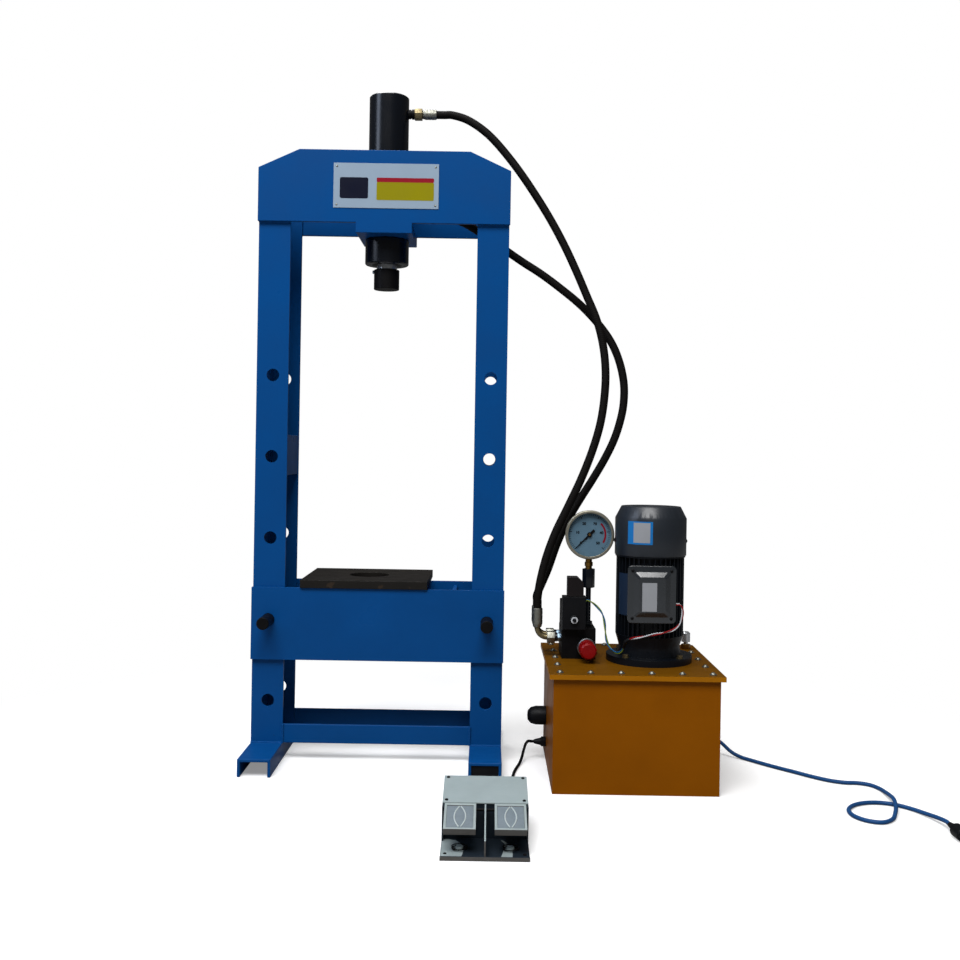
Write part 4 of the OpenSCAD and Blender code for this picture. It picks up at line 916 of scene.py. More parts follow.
@dataclass
class Fasteners(Repeat):
    """Screws, bolts or rivets of one size, with a washer or a thin rim under the head."""

    head: Head
    head_mm: float
    height_mm: float
    washer_mm: float = 0.0
    washer_t_mm: float = 0.2

    def place(self, name: str, spots: Sequence[Vector], axis: Vector, finish: Finish) -> Piece:
        """Set a fastener at each spot, with its head along an axis."""
        sizes = {"Head Radius": self.head_mm / 2 * MM, "Head Height": self.height_mm * MM,
                 "Washer Radius": max(self.washer_mm, self.head_mm) / 2 * MM,
                 "Washer Height": self.washer_t_mm * MM}
        tree, given = self.start(name, sizes)
        radius, height, rise = given["Head Radius"], given["Head Height"], given["Washer Height"]
        rim = add_node(tree, "GeometryNodeMeshCylinder", {
            "Vertices": 32, "Radius": given["Washer Radius"], "Depth": rise})
        lift = vector_node(tree, Z=math_node(tree, "MULTIPLY", rise, 0.5))
        washer = self.moved(tree, rim.outputs[0], Translation=lift)
        if self.head is Head.DOME:
            ball = add_node(tree, "GeometryNodeMeshUVSphere", {
                "Segments": 24, "Rings": 12, "Radius": 1.0})
            size = vector_node(tree, X=radius, Y=radius, Z=height)
            top = self.moved(tree, ball.outputs[0], Scale=size)
        else:
            bar = add_node(tree, "GeometryNodeMeshCylinder", {
                "Vertices": 6, "Radius": radius, "Depth": height})
            half = math_node(tree, "MULTIPLY", height, 0.5)
            raised = vector_node(tree, Z=math_node(tree, "ADD", half, rise))
            top = self.moved(tree, bar.outputs[0], Translation=raised)
        joined = add_node(tree, "GeometryNodeJoinGeometry")
        for shape in (washer, top):
            tree.links.new(shape, joined.inputs[0])
        self.end(tree, given["Geometry"], joined.outputs[0], finish)
        turn = turn_to(axis)
        local = [turn.inverted() @ spot for spot in spots]
        return self.bake(name, tree, local, sizes, finish, FRAME_BODY, turn)


@dataclass
class Ticks(Repeat):
    """Marks round part of a dial."""

    count: int
    radius_mm: float
    length_mm: float
    width_mm: float
    sweep_deg: float

    def place(self, name: str, facing: Matrix, finish: Finish) -> Piece:
        """Set the marks on a dial that has the given place and turn."""
        sizes = {"Radius": (self.radius_mm - self.length_mm / 2) * MM, "Length": self.length_mm * MM,
                 "Width": self.width_mm * MM, "Step": -math.radians(self.sweep_deg) / (self.count - 1)}
        tree, given = self.start(name, sizes)
        size = vector_node(tree, X=given["Length"], Y=given["Width"], Z=PRINT_MM * MM)
        bar = add_node(tree, "GeometryNodeMeshCube", {"Size": size})
        mark = self.moved(tree, bar.outputs[0], Translation=vector_node(tree, X=given["Radius"]))
        index = add_node(tree, "GeometryNodeInputIndex").outputs[0]
        angle = math_node(tree, "MULTIPLY_ADD", index, given["Step"], math.radians(DIAL_START_DEG))
        self.end(tree, given["Geometry"], mark, finish, Rotation=vector_node(tree, Z=angle))
        return self.bake(name, tree, [Vector()] * self.count, sizes, finish, FRAME_BODY, facing)


@dataclass
class Ribs(Repeat):
    """Straight ribs side by side."""

    count: int
    across_mm: float
    length_mm: float
    width_mm: float
    height_mm: float
    length_share: float = 0.98

    def place(self, name: str, centre: Vector, finish: Finish, body: str, turned: Matrix) -> Piece:
        """Set the ribs about a centre, then move them into a turned place."""
        sizes = {"Length": self.length_mm * MM * self.length_share, "Width": self.width_mm * MM,
                 "Height": self.height_mm * 2 * MM}
        tree, given = self.start(name, sizes)
        size = vector_node(tree, X=given["Width"], Y=given["Length"], Z=given["Height"])
        bar = add_node(tree, "GeometryNodeMeshCube", {"Size": size})
        self.end(tree, given["Geometry"], bar.outputs[0], finish)
        step = self.across_mm * MM / self.count
        points = [centre + RIGHT * (i - (self.count - 1) / 2) * step for i in range(self.count)]
        return self.bake(name, tree, points, sizes, finish, body, turned)


# Sub-assemblies


@dataclass
class Machine:
    """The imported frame, with a way to dress its solids."""

    nodes: dict[str, Piece]
    body_of: dict[str, str]
    slot_of: dict[str, str]

    @classmethod
    def load(cls) -> Machine:
        """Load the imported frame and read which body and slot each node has."""
        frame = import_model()
        record = frame["record"]
        bodies = record["behaviour"]["bodies"]
        return cls(
            nodes=frame["nodes"],
            body_of={n: body for body, names in bodies.items() for n in names},
            slot_of={s["node"]: s["material_slot"] for s in record["subparts"]},
        )

    def stand_in(self, piece: Piece, node: str) -> Piece:
        """Let a piece replace a node, and hide the node."""
        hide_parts(node)
        return piece

    def dress(self, node: str, finish: Finish, ease_mm: float = 0.0) -> Piece:
        """Give a node its finish, on a copy with eased edges where a width is given.

        Args:
            node: The solid's name.
            finish: The surface it shows.
            ease_mm: Width of the eased edges, or zero to keep the solid.

        Returns:
            The object that shows.
        """
        source = self.nodes[node]
        if ease_mm <= 0:
            source.data.materials.clear()
            source.data.materials.append(finish.material())
            LOG.info("%s keeps its solid, in %s", node, finish.name)
            return source
        bm = bmesh.new()
        bm.from_mesh(source.data)
        bmesh.ops.remove_doubles(bm, verts=bm.verts, dist=MERGE_M)
        bmesh.ops.dissolve_limit(bm, angle_limit=math.radians(0.8), verts=bm.verts, edges=bm.edges)
        ease_edges(bm, ease_mm)
        piece = weighted(new_piece(f"{node}_eased", bm, finish, self.body_of[node]))
        LOG.info("%s has eased edges, in %s", node, finish.name)
        return self.stand_in(piece, node)

    def turned(self, node: str, finish: Finish, profile: Profile, centre: Vector) -> Piece:
        """Replace an upright round node by a finely turned piece."""
        piece = turned_piece(f"{node}_turned", profile, centre, UP, finish, 128, self.body_of[node])
        LOG.info("%s is turned, in %s", node, finish.name)
        return self.stand_in(piece, node)


@dataclass
class Cords:
    """Hoses, cords and leads, each along the route of its solid."""

    machine: Machine
    hose_d: float = 20.0
    pedal_d: float = 7.0
    mains_d: float = 9.0
    wire_d: float = 3.0
    wire_apart: float = 1.5
    twist_mm: float = 88.0
    twist_start: float = 0.6
    sleeve_mm: float = 3.0
    sleeve_swell_mm: float = 1.3
    pressure_route: list[Point] = field(default_factory=lambda: [
        (120, 86, 1618), (140, 86, 1618), (160, 86, 1618), (195, 82, 1607), (230, 76, 1585),
        (262, 71, 1557), (298, 66, 1516), (336, 60, 1466), (374, 55, 1410), (410, 50, 1352),
        (444, 45, 1290), (475, 40, 1225), (504, 35, 1158), (530, 28, 1095), (546, 22, 1030),
        (552, 16, 965), (549, 10, 900), (539, 4, 836), (520, 0, 770), (493, -5, 700),
        (462, -10, 633), (433, -16, 572), (412, -22, 515), (398, -27, 460), (391, -30, 416),
        (391, -30, 402), (391, -30, 388),
    ])
    return_route: list[Point] = field(default_factory=lambda: [
        (120, 86, 1360), (135, 86, 1360), (150, 86, 1360), (190, 86, 1347), (228, 86, 1326),
        (268, 86, 1300), (306, 86, 1274), (345, 86, 1248), (390, 86, 1220), (435, 86, 1188),
        (490, 84, 1144), (535, 82, 1098), (570, 78, 1050), (592, 74, 1000), (604, 70, 945),
        (604, 66, 895), (596, 62, 850), (580, 58, 800), (556, 54, 750), (527, 50, 700),
        (496, 46, 650), (466, 41, 598), (440, 34, 540), (419, 26, 480), (402, 18, 440),
        (391, 15, 414), (391, 15, 401), (391, 15, 388),
    ])
    pedal_route: list[Point] = field(default_factory=lambda: [
        (318, -390, 14), (318, -381, 14), (318, -372, 14), (319, -348, 8), (321, -325, 4),
        (324, -280, 4), (327, -230, 4), (330, -180, 4), (334, -130, 4), (339, -85, 4),
        (346, -48, 4), (354, -15, 6), (360, 8, 14), (365, 26, 27), (370, 36, 39), (376, 40, 45),
        (383, 40, 45), (390, 40, 45),
    ])
    mains_route: list[Point] = field(default_factory=lambda: [
        (826, 100, 50), (834, 100, 50), (842, 100, 50), (868, 96, 36), (893, 84, 15), (915, 68, 6),
        (940, 38, 5), (964, 8, 5), (990, -22, 5), (1016, -50, 5), (1048, -86, 5), (1080, -115, 5),
        (1112, -130, 5), (1142, -132, 5), (1166, -146, 5), (1178, -172, 5), (1180, -205, 7),
        (1177, -240, 11), (1171, -280, 15), (1162, -318, 11), (1148, -352, 7), (1130, -385, 5),
        (1102, -406, 5), (1072, -396, 5), (1054, -366, 5), (1056, -328, 5), (1078, -296, 5),
        (1110, -278, 5), (1144, -276, 5), (1174, -290, 5), (1198, -316, 5), (1214, -352, 7),
        (1224, -390, 11), (1228, -420, 14), (1228, -430, 14), (1228, -440, 14),
    ])
    motor_lead_route: list[Point] = field(default_factory=lambda: [
        (704, -163, 420), (708, -163, 420), (712, -163, 420), (718, -163, 414), (720, -164, 402),
        (718, -165, 388), (712, -167, 374), (698, -169, 362), (676, -170, 355), (654, -170, 351),
        (638, -169, 347), (624, -167, 344), (610, -164, 341), (600, -159, 337), (592, -155, 332),
    ])
    valve_lead_route: list[Point] = field(default_factory=lambda: [
        (505, -56, 412), (508, -56, 412), (511, -56, 412), (521, -60, 407), (532, -66, 398),
        (542, -74, 386), (547, -82, 372), (549, -89, 356), (550, -95, 340), (552, -101, 325),
        (557, -108, 312), (565, -116, 303), (574, -125, 299), (583, -135, 304), (587, -143, 314),
        (589, -149, 323),
    ])

    def lay(
        self, name: str, node: str, route: Sequence[Point], diameter_mm: float, finish: Finish,
        far_end: str, stiffness: str, lay: str, offset_mm: float = 0.0,
        with_pieces: Sequence[Piece] = (), replaces: bool = True,
    ) -> Piece:
        """Args:
            name: The piece's name.
            node: The solid that it stands for.
            route: Points in press millimetres.
            diameter_mm: The cord's diameter.
            finish: The surface it shows.
            far_end: What its far end is; not used.
            stiffness: How stiff it is; not used.
            lay: How it lies; not used.
            offset_mm: How far it winds beside the route, for one wire of a pair.
            with_pieces: Pieces that go with it; not used.
            replaces: Whether it hides the solid.

        Returns:
            The cord.
        """
        line = smooth_route(route, 8)
        if offset_mm:
            line = self.twisted(line, offset_mm)
        mesh = tube_mesh(line, diameter_mm * MM / 2)
        piece = new_piece(name, mesh, finish, FRAME_BODY, 60)
        if replaces:
            self.machine.stand_in(piece, node)
        return piece

    def twisted(self, line: Sequence[Vector], offset_mm: float) -> list[Vector]:
        """Wind one wire of a twisted pair round a line.

        Args:
            line: The pair's middle, in metres.
            offset_mm: Distance from the middle; the other wire has it with a minus sign.

        Returns:
            The wire's own line.
        """
        wound, length = [], 0.0
        for i, point in enumerate(line):
            ahead = (line[min(i + 1, len(line) - 1)] - line[max(i - 1, 0)]).normalized()
            side = ahead.cross(BACK).normalized()
            other = side.cross(ahead)
            if i:
                length += (point - line[i - 1]).length
            turn = self.twist_start + 2 * math.pi * length / (self.twist_mm * MM)
            wound.append(point + (side * math.cos(turn) + other * math.sin(turn)) * offset_mm * MM)
        return wound

    def build_splice(self) -> None:
        """Cover the joint of the two pairs with a black shrink sleeve."""
        ends = self.motor_lead_route[-2:] + self.valve_lead_route[:-3:-1]
        line = smooth_route(ends, 6)
        last = len(line) - 1
        swell = [math.sin(math.pi * i / last) ** 0.5 for i in range(last + 1)]
        radii = [MM * (self.sleeve_mm + self.sleeve_swell_mm * share) for share in swell]
        new_piece("lead_splice_sleeve", tube_mesh(line, radii), Finishes.PLASTIC, smooth_deg=70)

    def build(self) -> None:
        """Lay every cord."""
        plug = self.machine.dress("mains_plug", Finishes.PLASTIC, 0.8)
        for name, route in (("pressure_hose", self.pressure_route), ("return_hose", self.return_route)):
            self.lay(f"{name}_wrap", name, route, self.hose_d, Finishes.HOSE,
                     "object", "stiff", "hanging")
        self.lay("pedal_cord_sheath", "pedal_cord", self.pedal_route, self.pedal_d, Finishes.CORD,
                 "object", "medium", "loose")
        self.lay("mains_cord_sheath", "mains_cord", self.mains_route, self.mains_d, Finishes.MAINS,
                 "plug", "medium", "loose", with_pieces=[plug])
        wires = (
            ("red_motor_wire", "motor_lead", self.motor_lead_route, Finishes.RED_WIRE, -1),
            ("white_motor_wire", "motor_lead", self.motor_lead_route, Finishes.WHITE_WIRE, 1),
            ("green_valve_wire", "valve_lead", self.valve_lead_route, Finishes.GREEN_WIRE, -1),
            ("blue_valve_wire", "valve_lead", self.valve_lead_route, Finishes.BLUE_WIRE, 1),
        )
        for name, node, route, finish, way in wires:
            self.lay(name, node, route, self.wire_d, finish, "object", "limp", "hanging",
                     way * self.wire_apart, replaces=way < 0)
        self.build_splice()


@dataclass(frozen=True)
class Lamp:
    """A soft rectangular lamp that points at a place, in metres and watts."""

    name: str
    spot: Point
    aim: Point
    size: tuple[float, float]
    watts: float
    colour: str = "#ffffff"

    def build(self) -> None:
        """Hang the lamp."""
        data = bpy.data.lights.new(self.name, "AREA")
        data.shape = "RECTANGLE"
        data.size, data.size_y = self.size
        data.energy = self.watts
        data.color = linear(self.colour)[:3]
        lamp = bpy.data.objects.new(self.name, data)
        spot = Vector(self.spot)
        turn = (Vector(self.aim) - spot).to_track_quat("-Z", "Y").to_matrix().to_4x4()
        lamp.matrix_world = Matrix.Translation(spot) @ turn
        bpy.context.scene.collection.objects.link(lamp)


@dataclass
class Studio:
    """Camera, floor and light."""

    lens_px: float = 1100.0
    picture_px: float = 960.0
    sensor_mm: float = 36.0
    eye_px: tuple[float, float] = (487.0, 450.0)
    eye_mm: Point = (261.7, -2706.0, 770.0)
    roll: float = 0.0163
    floor_m: float = 20.0
    floor_seen: str = "#f0f0f0"
    floor_bounce: str = "#9a9a9a"
    floor_glow: float = 0.25
    fade_m: tuple[float, float] = (0.7, 1.6)
    world_gloss: float = 0.08
    world_fill: float = 0.18
    lamps: tuple[Lamp, ...] = (
        Lamp("front_key", (-0.7, -3.3, 5.4), (0, 0, 0.7), (4.0, 2.8), 368),
        Lamp("top_fill", (-0.6, -0.2, 4.6), (0, 0, 0.7), (3.0, 3.0), 20),
        Lamp("left_strip", (-2.4, -1.0, 2.6), (0, 0, 1.4), (0.9, 1.7), 28, "#d8e6ff"),
        Lamp("shoulder_glint", (-0.6, 0.65, 3.1), (0.4, 0, 0.75), (0.9, 0.9), 28),
    )

    def build_camera(self) -> None:
        """Set the camera at the photograph's viewpoint."""
        data = bpy.data.cameras.new("camera")
        data.sensor_width = self.sensor_mm
        data.lens = self.sensor_mm * self.lens_px / self.picture_px
        half = self.picture_px / 2
        data.shift_x = (half - self.eye_px[0]) / self.picture_px
        data.shift_y = (self.eye_px[1] - half) / self.picture_px
        camera = bpy.data.objects.new("camera", data)
        turn = Matrix.Rotation(math.pi / 2, 4, "X") @ Matrix.Rotation(self.roll, 4, "Z")
        camera.matrix_world = Matrix.Translation(at(*self.eye_mm)) @ turn
        bpy.context.scene.collection.objects.link(camera)
        bpy.context.scene.camera = camera

    def build_floor(self) -> None:
        """Lay a pale floor that keeps the shadows and fades to white away from the machine."""
        bm = bmesh.new()
        bmesh.ops.create_grid(bm, x_segments=1, y_segments=1, size=self.floor_m)
        mesh = bpy.data.meshes.new("floor")
        bm.to_mesh(mesh)
        bm.free()
        floor = bpy.data.objects.new("floor", mesh)
        bpy.context.scene.collection.objects.link(floor)
        made = bpy.data.materials.new("pale_floor")
        tree = empty_tree(made)
        seen = add_node(tree, "ShaderNodeLightPath").outputs["Is Camera Ray"]
        tone = add_node(tree, "ShaderNodeMix", {
            0: seen, 6: linear(self.floor_bounce), 7: linear(self.floor_seen)}, data_type="RGBA")
        shader = add_node(tree, "ShaderNodeBsdfPrincipled", {
            "Base Color": tone.outputs[2], "Roughness": 0.9, "Specular IOR Level": 0.0,
            "Emission Color": WHITE,
            "Emission Strength": math_node(tree, "MULTIPLY", seen, self.floor_glow),
        })
        spot = add_node(tree, "ShaderNodeTexCoord").outputs["Object"]
        reach = add_node(tree, "ShaderNodeVectorMath", {0: spot}, operation="LENGTH").outputs["Value"]
        near, far = self.fade_m
        fade = add_node(tree, "ShaderNodeMapRange", {
            "Value": reach, "From Min": near, "From Max": far}, interpolation_type="SMOOTHSTEP")
        share = math_node(tree, "MULTIPLY", fade.outputs["Result"], seen)
        white = add_node(tree, "ShaderNodeEmission", {"Color": WHITE, "Strength": 1.0})
        mixed = add_node(tree, "ShaderNodeMixShader", {
            0: share, 1: shader.outputs[0], 2: white.outputs[0]})
        add_node(tree, "ShaderNodeOutputMaterial", {"Surface": mixed.outputs[0]})
        mesh.materials.append(made)

    def build_world(self) -> None:
        """Fill the room with even light, and show white where the camera looks past the floor."""
        world = bpy.data.worlds.new("studio")
        bpy.context.scene.world = world
        tree = empty_tree(world)
        rays = add_node(tree, "ShaderNodeLightPath").outputs
        seen = math_node(tree, "MAXIMUM", rays["Is Camera Ray"], rays["Is Transmission Ray"])
        gloss = math_node(tree, "MULTIPLY", rays["Is Glossy Ray"], self.world_gloss)
        fill = math_node(tree, "MULTIPLY", rays["Is Diffuse Ray"], self.world_fill)
        level = math_node(tree, "MAXIMUM", math_node(tree, "MAXIMUM", seen, gloss), fill)
        back = add_node(tree, "ShaderNodeBackground", {"Color": WHITE, "Strength": level})
        add_node(tree, "ShaderNodeOutputWorld", {"Surface": back.outputs[0]})

    def build(self) -> None:
        """Build the studio."""
        bpy.context.scene.view_settings.view_transform = "Standard"
        self.build_camera()
        self.build_floor()
        self.build_world()
        for lamp in self.lamps:
            lamp.build()
        LOG.info("studio is ready")


@dataclass
class PressFrame:
    """Columns, crosshead, feet, ties and bed, with their welds and the data plate."""

    machine: Machine
    edge_mm: float = 1.6
    bead_mm: float = 3.2
    ripple_mm: float = 0.5
    pitch_mm: float = 4.0
    seam_drop_mm: float = 35.0
    tie_weld_mm: float = 46.0
    field_mm: float = 0.4
    rivet_inset_mm: float = 8.0
    foot_wall_mm: float = 7.0
    plug_mm: float = 8.0
    plug_fit_mm: float = 0.3
    plug_in_mm: float = 3.0
    plug_lift_mm: float = 0.4

    def build_plug(self) -> None:
        """Close the front end of the right foot with a black block that stands for the shade inside its
        channel.
        """
        low, high = islands(self.machine.nodes["feet"])[-1]
        wall = (self.foot_wall_mm + self.plug_fit_mm) * MM
        first = low + Vector((wall, self.plug_in_mm * MM, self.plug_lift_mm * MM))
        last = Vector((high.x - wall, first.y + self.plug_mm * MM, high.z - self.foot_wall_mm * MM))
        last.z -= self.plug_fit_mm * MM
        # This black block is painted shade, filling the shaded inside of the foot's open channel
        plug = field_mesh(first, last, 2.0)
        ease_edges(plug, 0.6)
        new_piece("right_foot_painted_shade", plug, Finishes.PLASTIC)

    def bead(self, name: str, start: Vector, end: Vector) -> None:
        """Lay a rippled weld bead between two points."""
        count = max(2, int((end - start).length / (self.pitch_mm * MM / 4)))
        line = [start.lerp(end, i / count) for i in range(count + 1)]
        waves = [math.sin(i * math.pi / 2) for i in range(count + 1)]
        radii = [(self.bead_mm + self.ripple_mm * wave) * MM for wave in waves]
        new_piece(name, tube_mesh(line, radii, 10), Finishes.BLUE, smooth_deg=70)

    def build_welds(self) -> None:
        """Weld the columns to the feet, the crosshead and the tie bars."""
        foot_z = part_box("feet")[1].z
        seam_z = max(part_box("data_plate")[0].z - self.seam_drop_mm * MM, foot_z)
        tie_z = foot_z + self.tie_weld_mm * MM
        for side in SIDES:
            low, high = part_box(f"{side}_column")
            for end, y in (("front", low.y), ("back", high.y)):
                for seam, z in (("foot", foot_z), ("head", seam_z)):
                    start, stop = Vector((low.x, y, z)), Vector((high.x, y, z))
                    self.bead(f"{side}_{end}_{seam}_weld", start, stop)
            x = low.x if side == "right" else high.x
            self.bead(f"{side}_tie_weld", Vector((x, low.y, foot_z)), Vector((x, low.y, tie_z)))
        LOG.info("welds run at %.3f and %.3f m", foot_z, seam_z)

    def build_plate(self) -> None:
        """Print fields of colour on the data plate and rivet it."""
        low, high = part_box("data_plate")
        # The white plate's grey-blue is painted shade
        self.machine.dress("data_plate", Finishes.WHITE_PRINT, 0.3)
        size = high - low
        half = BACK * (self.field_mm * MM / 2)
        # Each field's lower left and upper right corners, as shares of the plate
        fields = (
            ("navy_field", Finishes.NAVY_PRINT, (0.06, 0.21), (0.33, 0.68), 5.0),
            ("yellow_field", Finishes.YELLOW_PRINT, (0.41, 0.18), (0.955, 0.58), 3.0),
            ("red_field", Finishes.RED_PRINT, (0.41, 0.58), (0.955, 0.68), 3.0),
        )
        for name, finish, *ends, corner in fields:
            first, last = (low + Vector((x * size.x, 0, z * size.z)) for x, z in ends)
            new_piece(name, field_mesh(first - half, last + half, corner), finish)
        spots = corner_spots((low, high), self.rivet_inset_mm, low.y)
        Fasteners(Head.DOME, 5.0, 1.6).place("plate_rivets", spots, FRONT, Finishes.ZINC)

    def build(self) -> None:
        """Dress the frame."""
        for node in ("left_column", "right_column", "crosshead", "feet", "tie_plates", "bed"):
            self.machine.dress(node, Finishes.BLUE, self.edge_mm)
        self.machine.dress("press_plate", Finishes.SCALE, 1.2)
        for side in SIDES:
            self.machine.dress(f"bed_pin_{side}", Finishes.OXIDE, 2.0)
        self.build_welds()
        self.build_plug()
        self.build_plate()


@dataclass
class PressCylinder:
    """Cylinder, ram and their fittings."""

    machine: Machine
    ease_mm: float = 2.5
    fit_mm: float = 0.1
    neck_share: float = 0.9
    shoulder_mm: float = 25.0
    grub_mm: float = 9.0
    grub_length_mm: float = 10.0
    grub_out_mm: float = 4.0
    grub_drop_mm: float = 5.5
    port_mm: float = 12.5
    port_in_mm: float = 4.0
    nut_mm: float = 27.0
    fitting_mm: float = 19.0

    def build_fittings(self) -> None:
        """Build each hose end: black adapter, plated nut and crimped ferrule."""
        step = RIGHT * self.fitting_mm * MM
        for index, box in enumerate(islands(self.machine.nodes["cylinder_fittings"])):
            name = f"port_{index}"
            start = middle(box)
            start.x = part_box("cylinder_tube")[1].x - self.port_in_mm * MM
            collar = ring_profile(self.port_mm, self.fitting_mm)
            adapter = turned_piece(f"{name}_adapter", collar, start, RIGHT, Finishes.OXIDE)
            if index == 0:
                self.machine.stand_in(adapter, "cylinder_fittings")
            nut = hex_mesh(self.nut_mm, self.fitting_mm, start + step, RIGHT)
            new_piece(f"{name}_nut", nut, Finishes.YELLOW_ZINC)
            seat = start + step * 2
            crimped = ferrule_profile(self.port_mm, (box[1].x - seat.x) / MM)
            turned_piece(f"{name}_ferrule", crimped, seat, RIGHT, Finishes.ZINC)

    def build_tube(self) -> None:
        """Turn the cylinder tube with its neck, and the lock nut on it."""
        low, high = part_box("cylinder_tube")
        nut_low, nut_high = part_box("lock_nut")
        centre = middle((low, high))
        centre.z = 0
        outer = (high.x - low.x) / 2 / MM
        bore = (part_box("cylinder_cap")[1].x - centre.x) / MM + self.fit_mm
        neck = outer * self.neck_share
        ease = self.ease_mm
        shoulder = nut_high.z / MM + self.shoulder_mm
        bottom, top = low.z / MM, high.z / MM
        self.machine.turned("cylinder_tube", Finishes.BLACK, (
            (bore, bottom), (neck - 1, bottom), (neck, bottom + 1), (neck, shoulder),
            (outer, shoulder), (outer, top - ease), (outer - ease, top), (bore, top),
        ), centre)
        self.machine.dress("cylinder_cap", Finishes.BLACK, 1.0)
        ring = (nut_high.x - centre.x) / MM
        base, head = nut_low.z / MM, nut_high.z / MM
        thread = neck + self.fit_mm
        self.machine.turned("lock_nut", Finishes.BLACK, (
            (thread, base), (ring - ease, base), (ring, base + ease), (ring, head - ease),
            (ring - ease, head), (thread, head),
        ), centre)

    def build(self) -> None:
        """Dress the cylinder."""
        self.build_tube()
        self.machine.dress("ram", Finishes.CHROME)
        self.machine.dress("ram_tip", Finishes.OXIDE, 1.5)
        low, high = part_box("ram_tip")
        grub = Vector((low.x - self.grub_out_mm * MM, middle(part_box("cylinder_tube")).y,
                       high.z - self.grub_drop_mm * MM))
        turned_piece("tip_grub_screw", rod_profile(self.grub_mm / 2, self.grub_length_mm, 1.0), grub,
                     RIGHT, Finishes.BLUE_ZINC, 32, "ram")
        self.machine.dress("cylinder_gland", Finishes.OXIDE)
        self.machine.dress("piston_seal", Finishes.PLASTIC)
        self.build_fittings()
        LOG.info("cylinder is dressed")


@dataclass
class Tank:
    """Tank, lid, lid bolts and what screws into them."""

    machine: Machine
    tall_bolt_mm: float = 12.0
    flange_mm: float = 16.0
    breather_foot_mm: float = 12.5

    def build(self) -> None:
        """Dress the tank and bolt its lid and the motor down."""
        self.machine.dress("tank_shell", Finishes.AMBER, 1.5)
        # The lid's top takes a darker copy of the amber enamel as painted shade
        lid = self.machine.dress("tank_lid", Finishes.AMBER_LID, 1.2)
        # The lid's edge faces take a brighter copy of the enamel as painted light
        second_finish(lid, Finishes.AMBER_EDGE, lambda face: face.normal.z < 0.4)
        lid_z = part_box("tank_lid")[1].z
        flange_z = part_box("motor_flange")[0].z + self.flange_mm * MM
        lid_spots, flange_spots = [], []
        for box in islands(self.machine.nodes["unit_bolts"]):
            spot = middle(box)
            tall = box[1].z > lid_z + self.tall_bolt_mm * MM
            spot.z = flange_z if tall else lid_z
            (flange_spots if tall else lid_spots).append(spot)
        bolts = Fasteners(Head.DOME, 13.0, 6.5, 16.5, 1.6)
        self.machine.stand_in(bolts.place("lid_bolts", lid_spots, UP, Finishes.ZINC), "unit_bolts")
        bolts = Fasteners(Head.HEX, 14.0, 6.0, 16.5, 1.6)
        bolts.place("flange_bolts", flange_spots, UP, Finishes.YELLOW_ZINC)
        self.machine.dress("side_cap", Finishes.PLASTIC, 1.2)
        self.machine.dress("cord_glands", Finishes.PLASTIC, 0.6)
        breather = self.machine.dress("breather", Finishes.CHROME, 0.6)
        split_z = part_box("breather")[0].z + self.breather_foot_mm * MM
        second_finish(breather, Finishes.BRASS, lambda face: face.center.z < split_z)


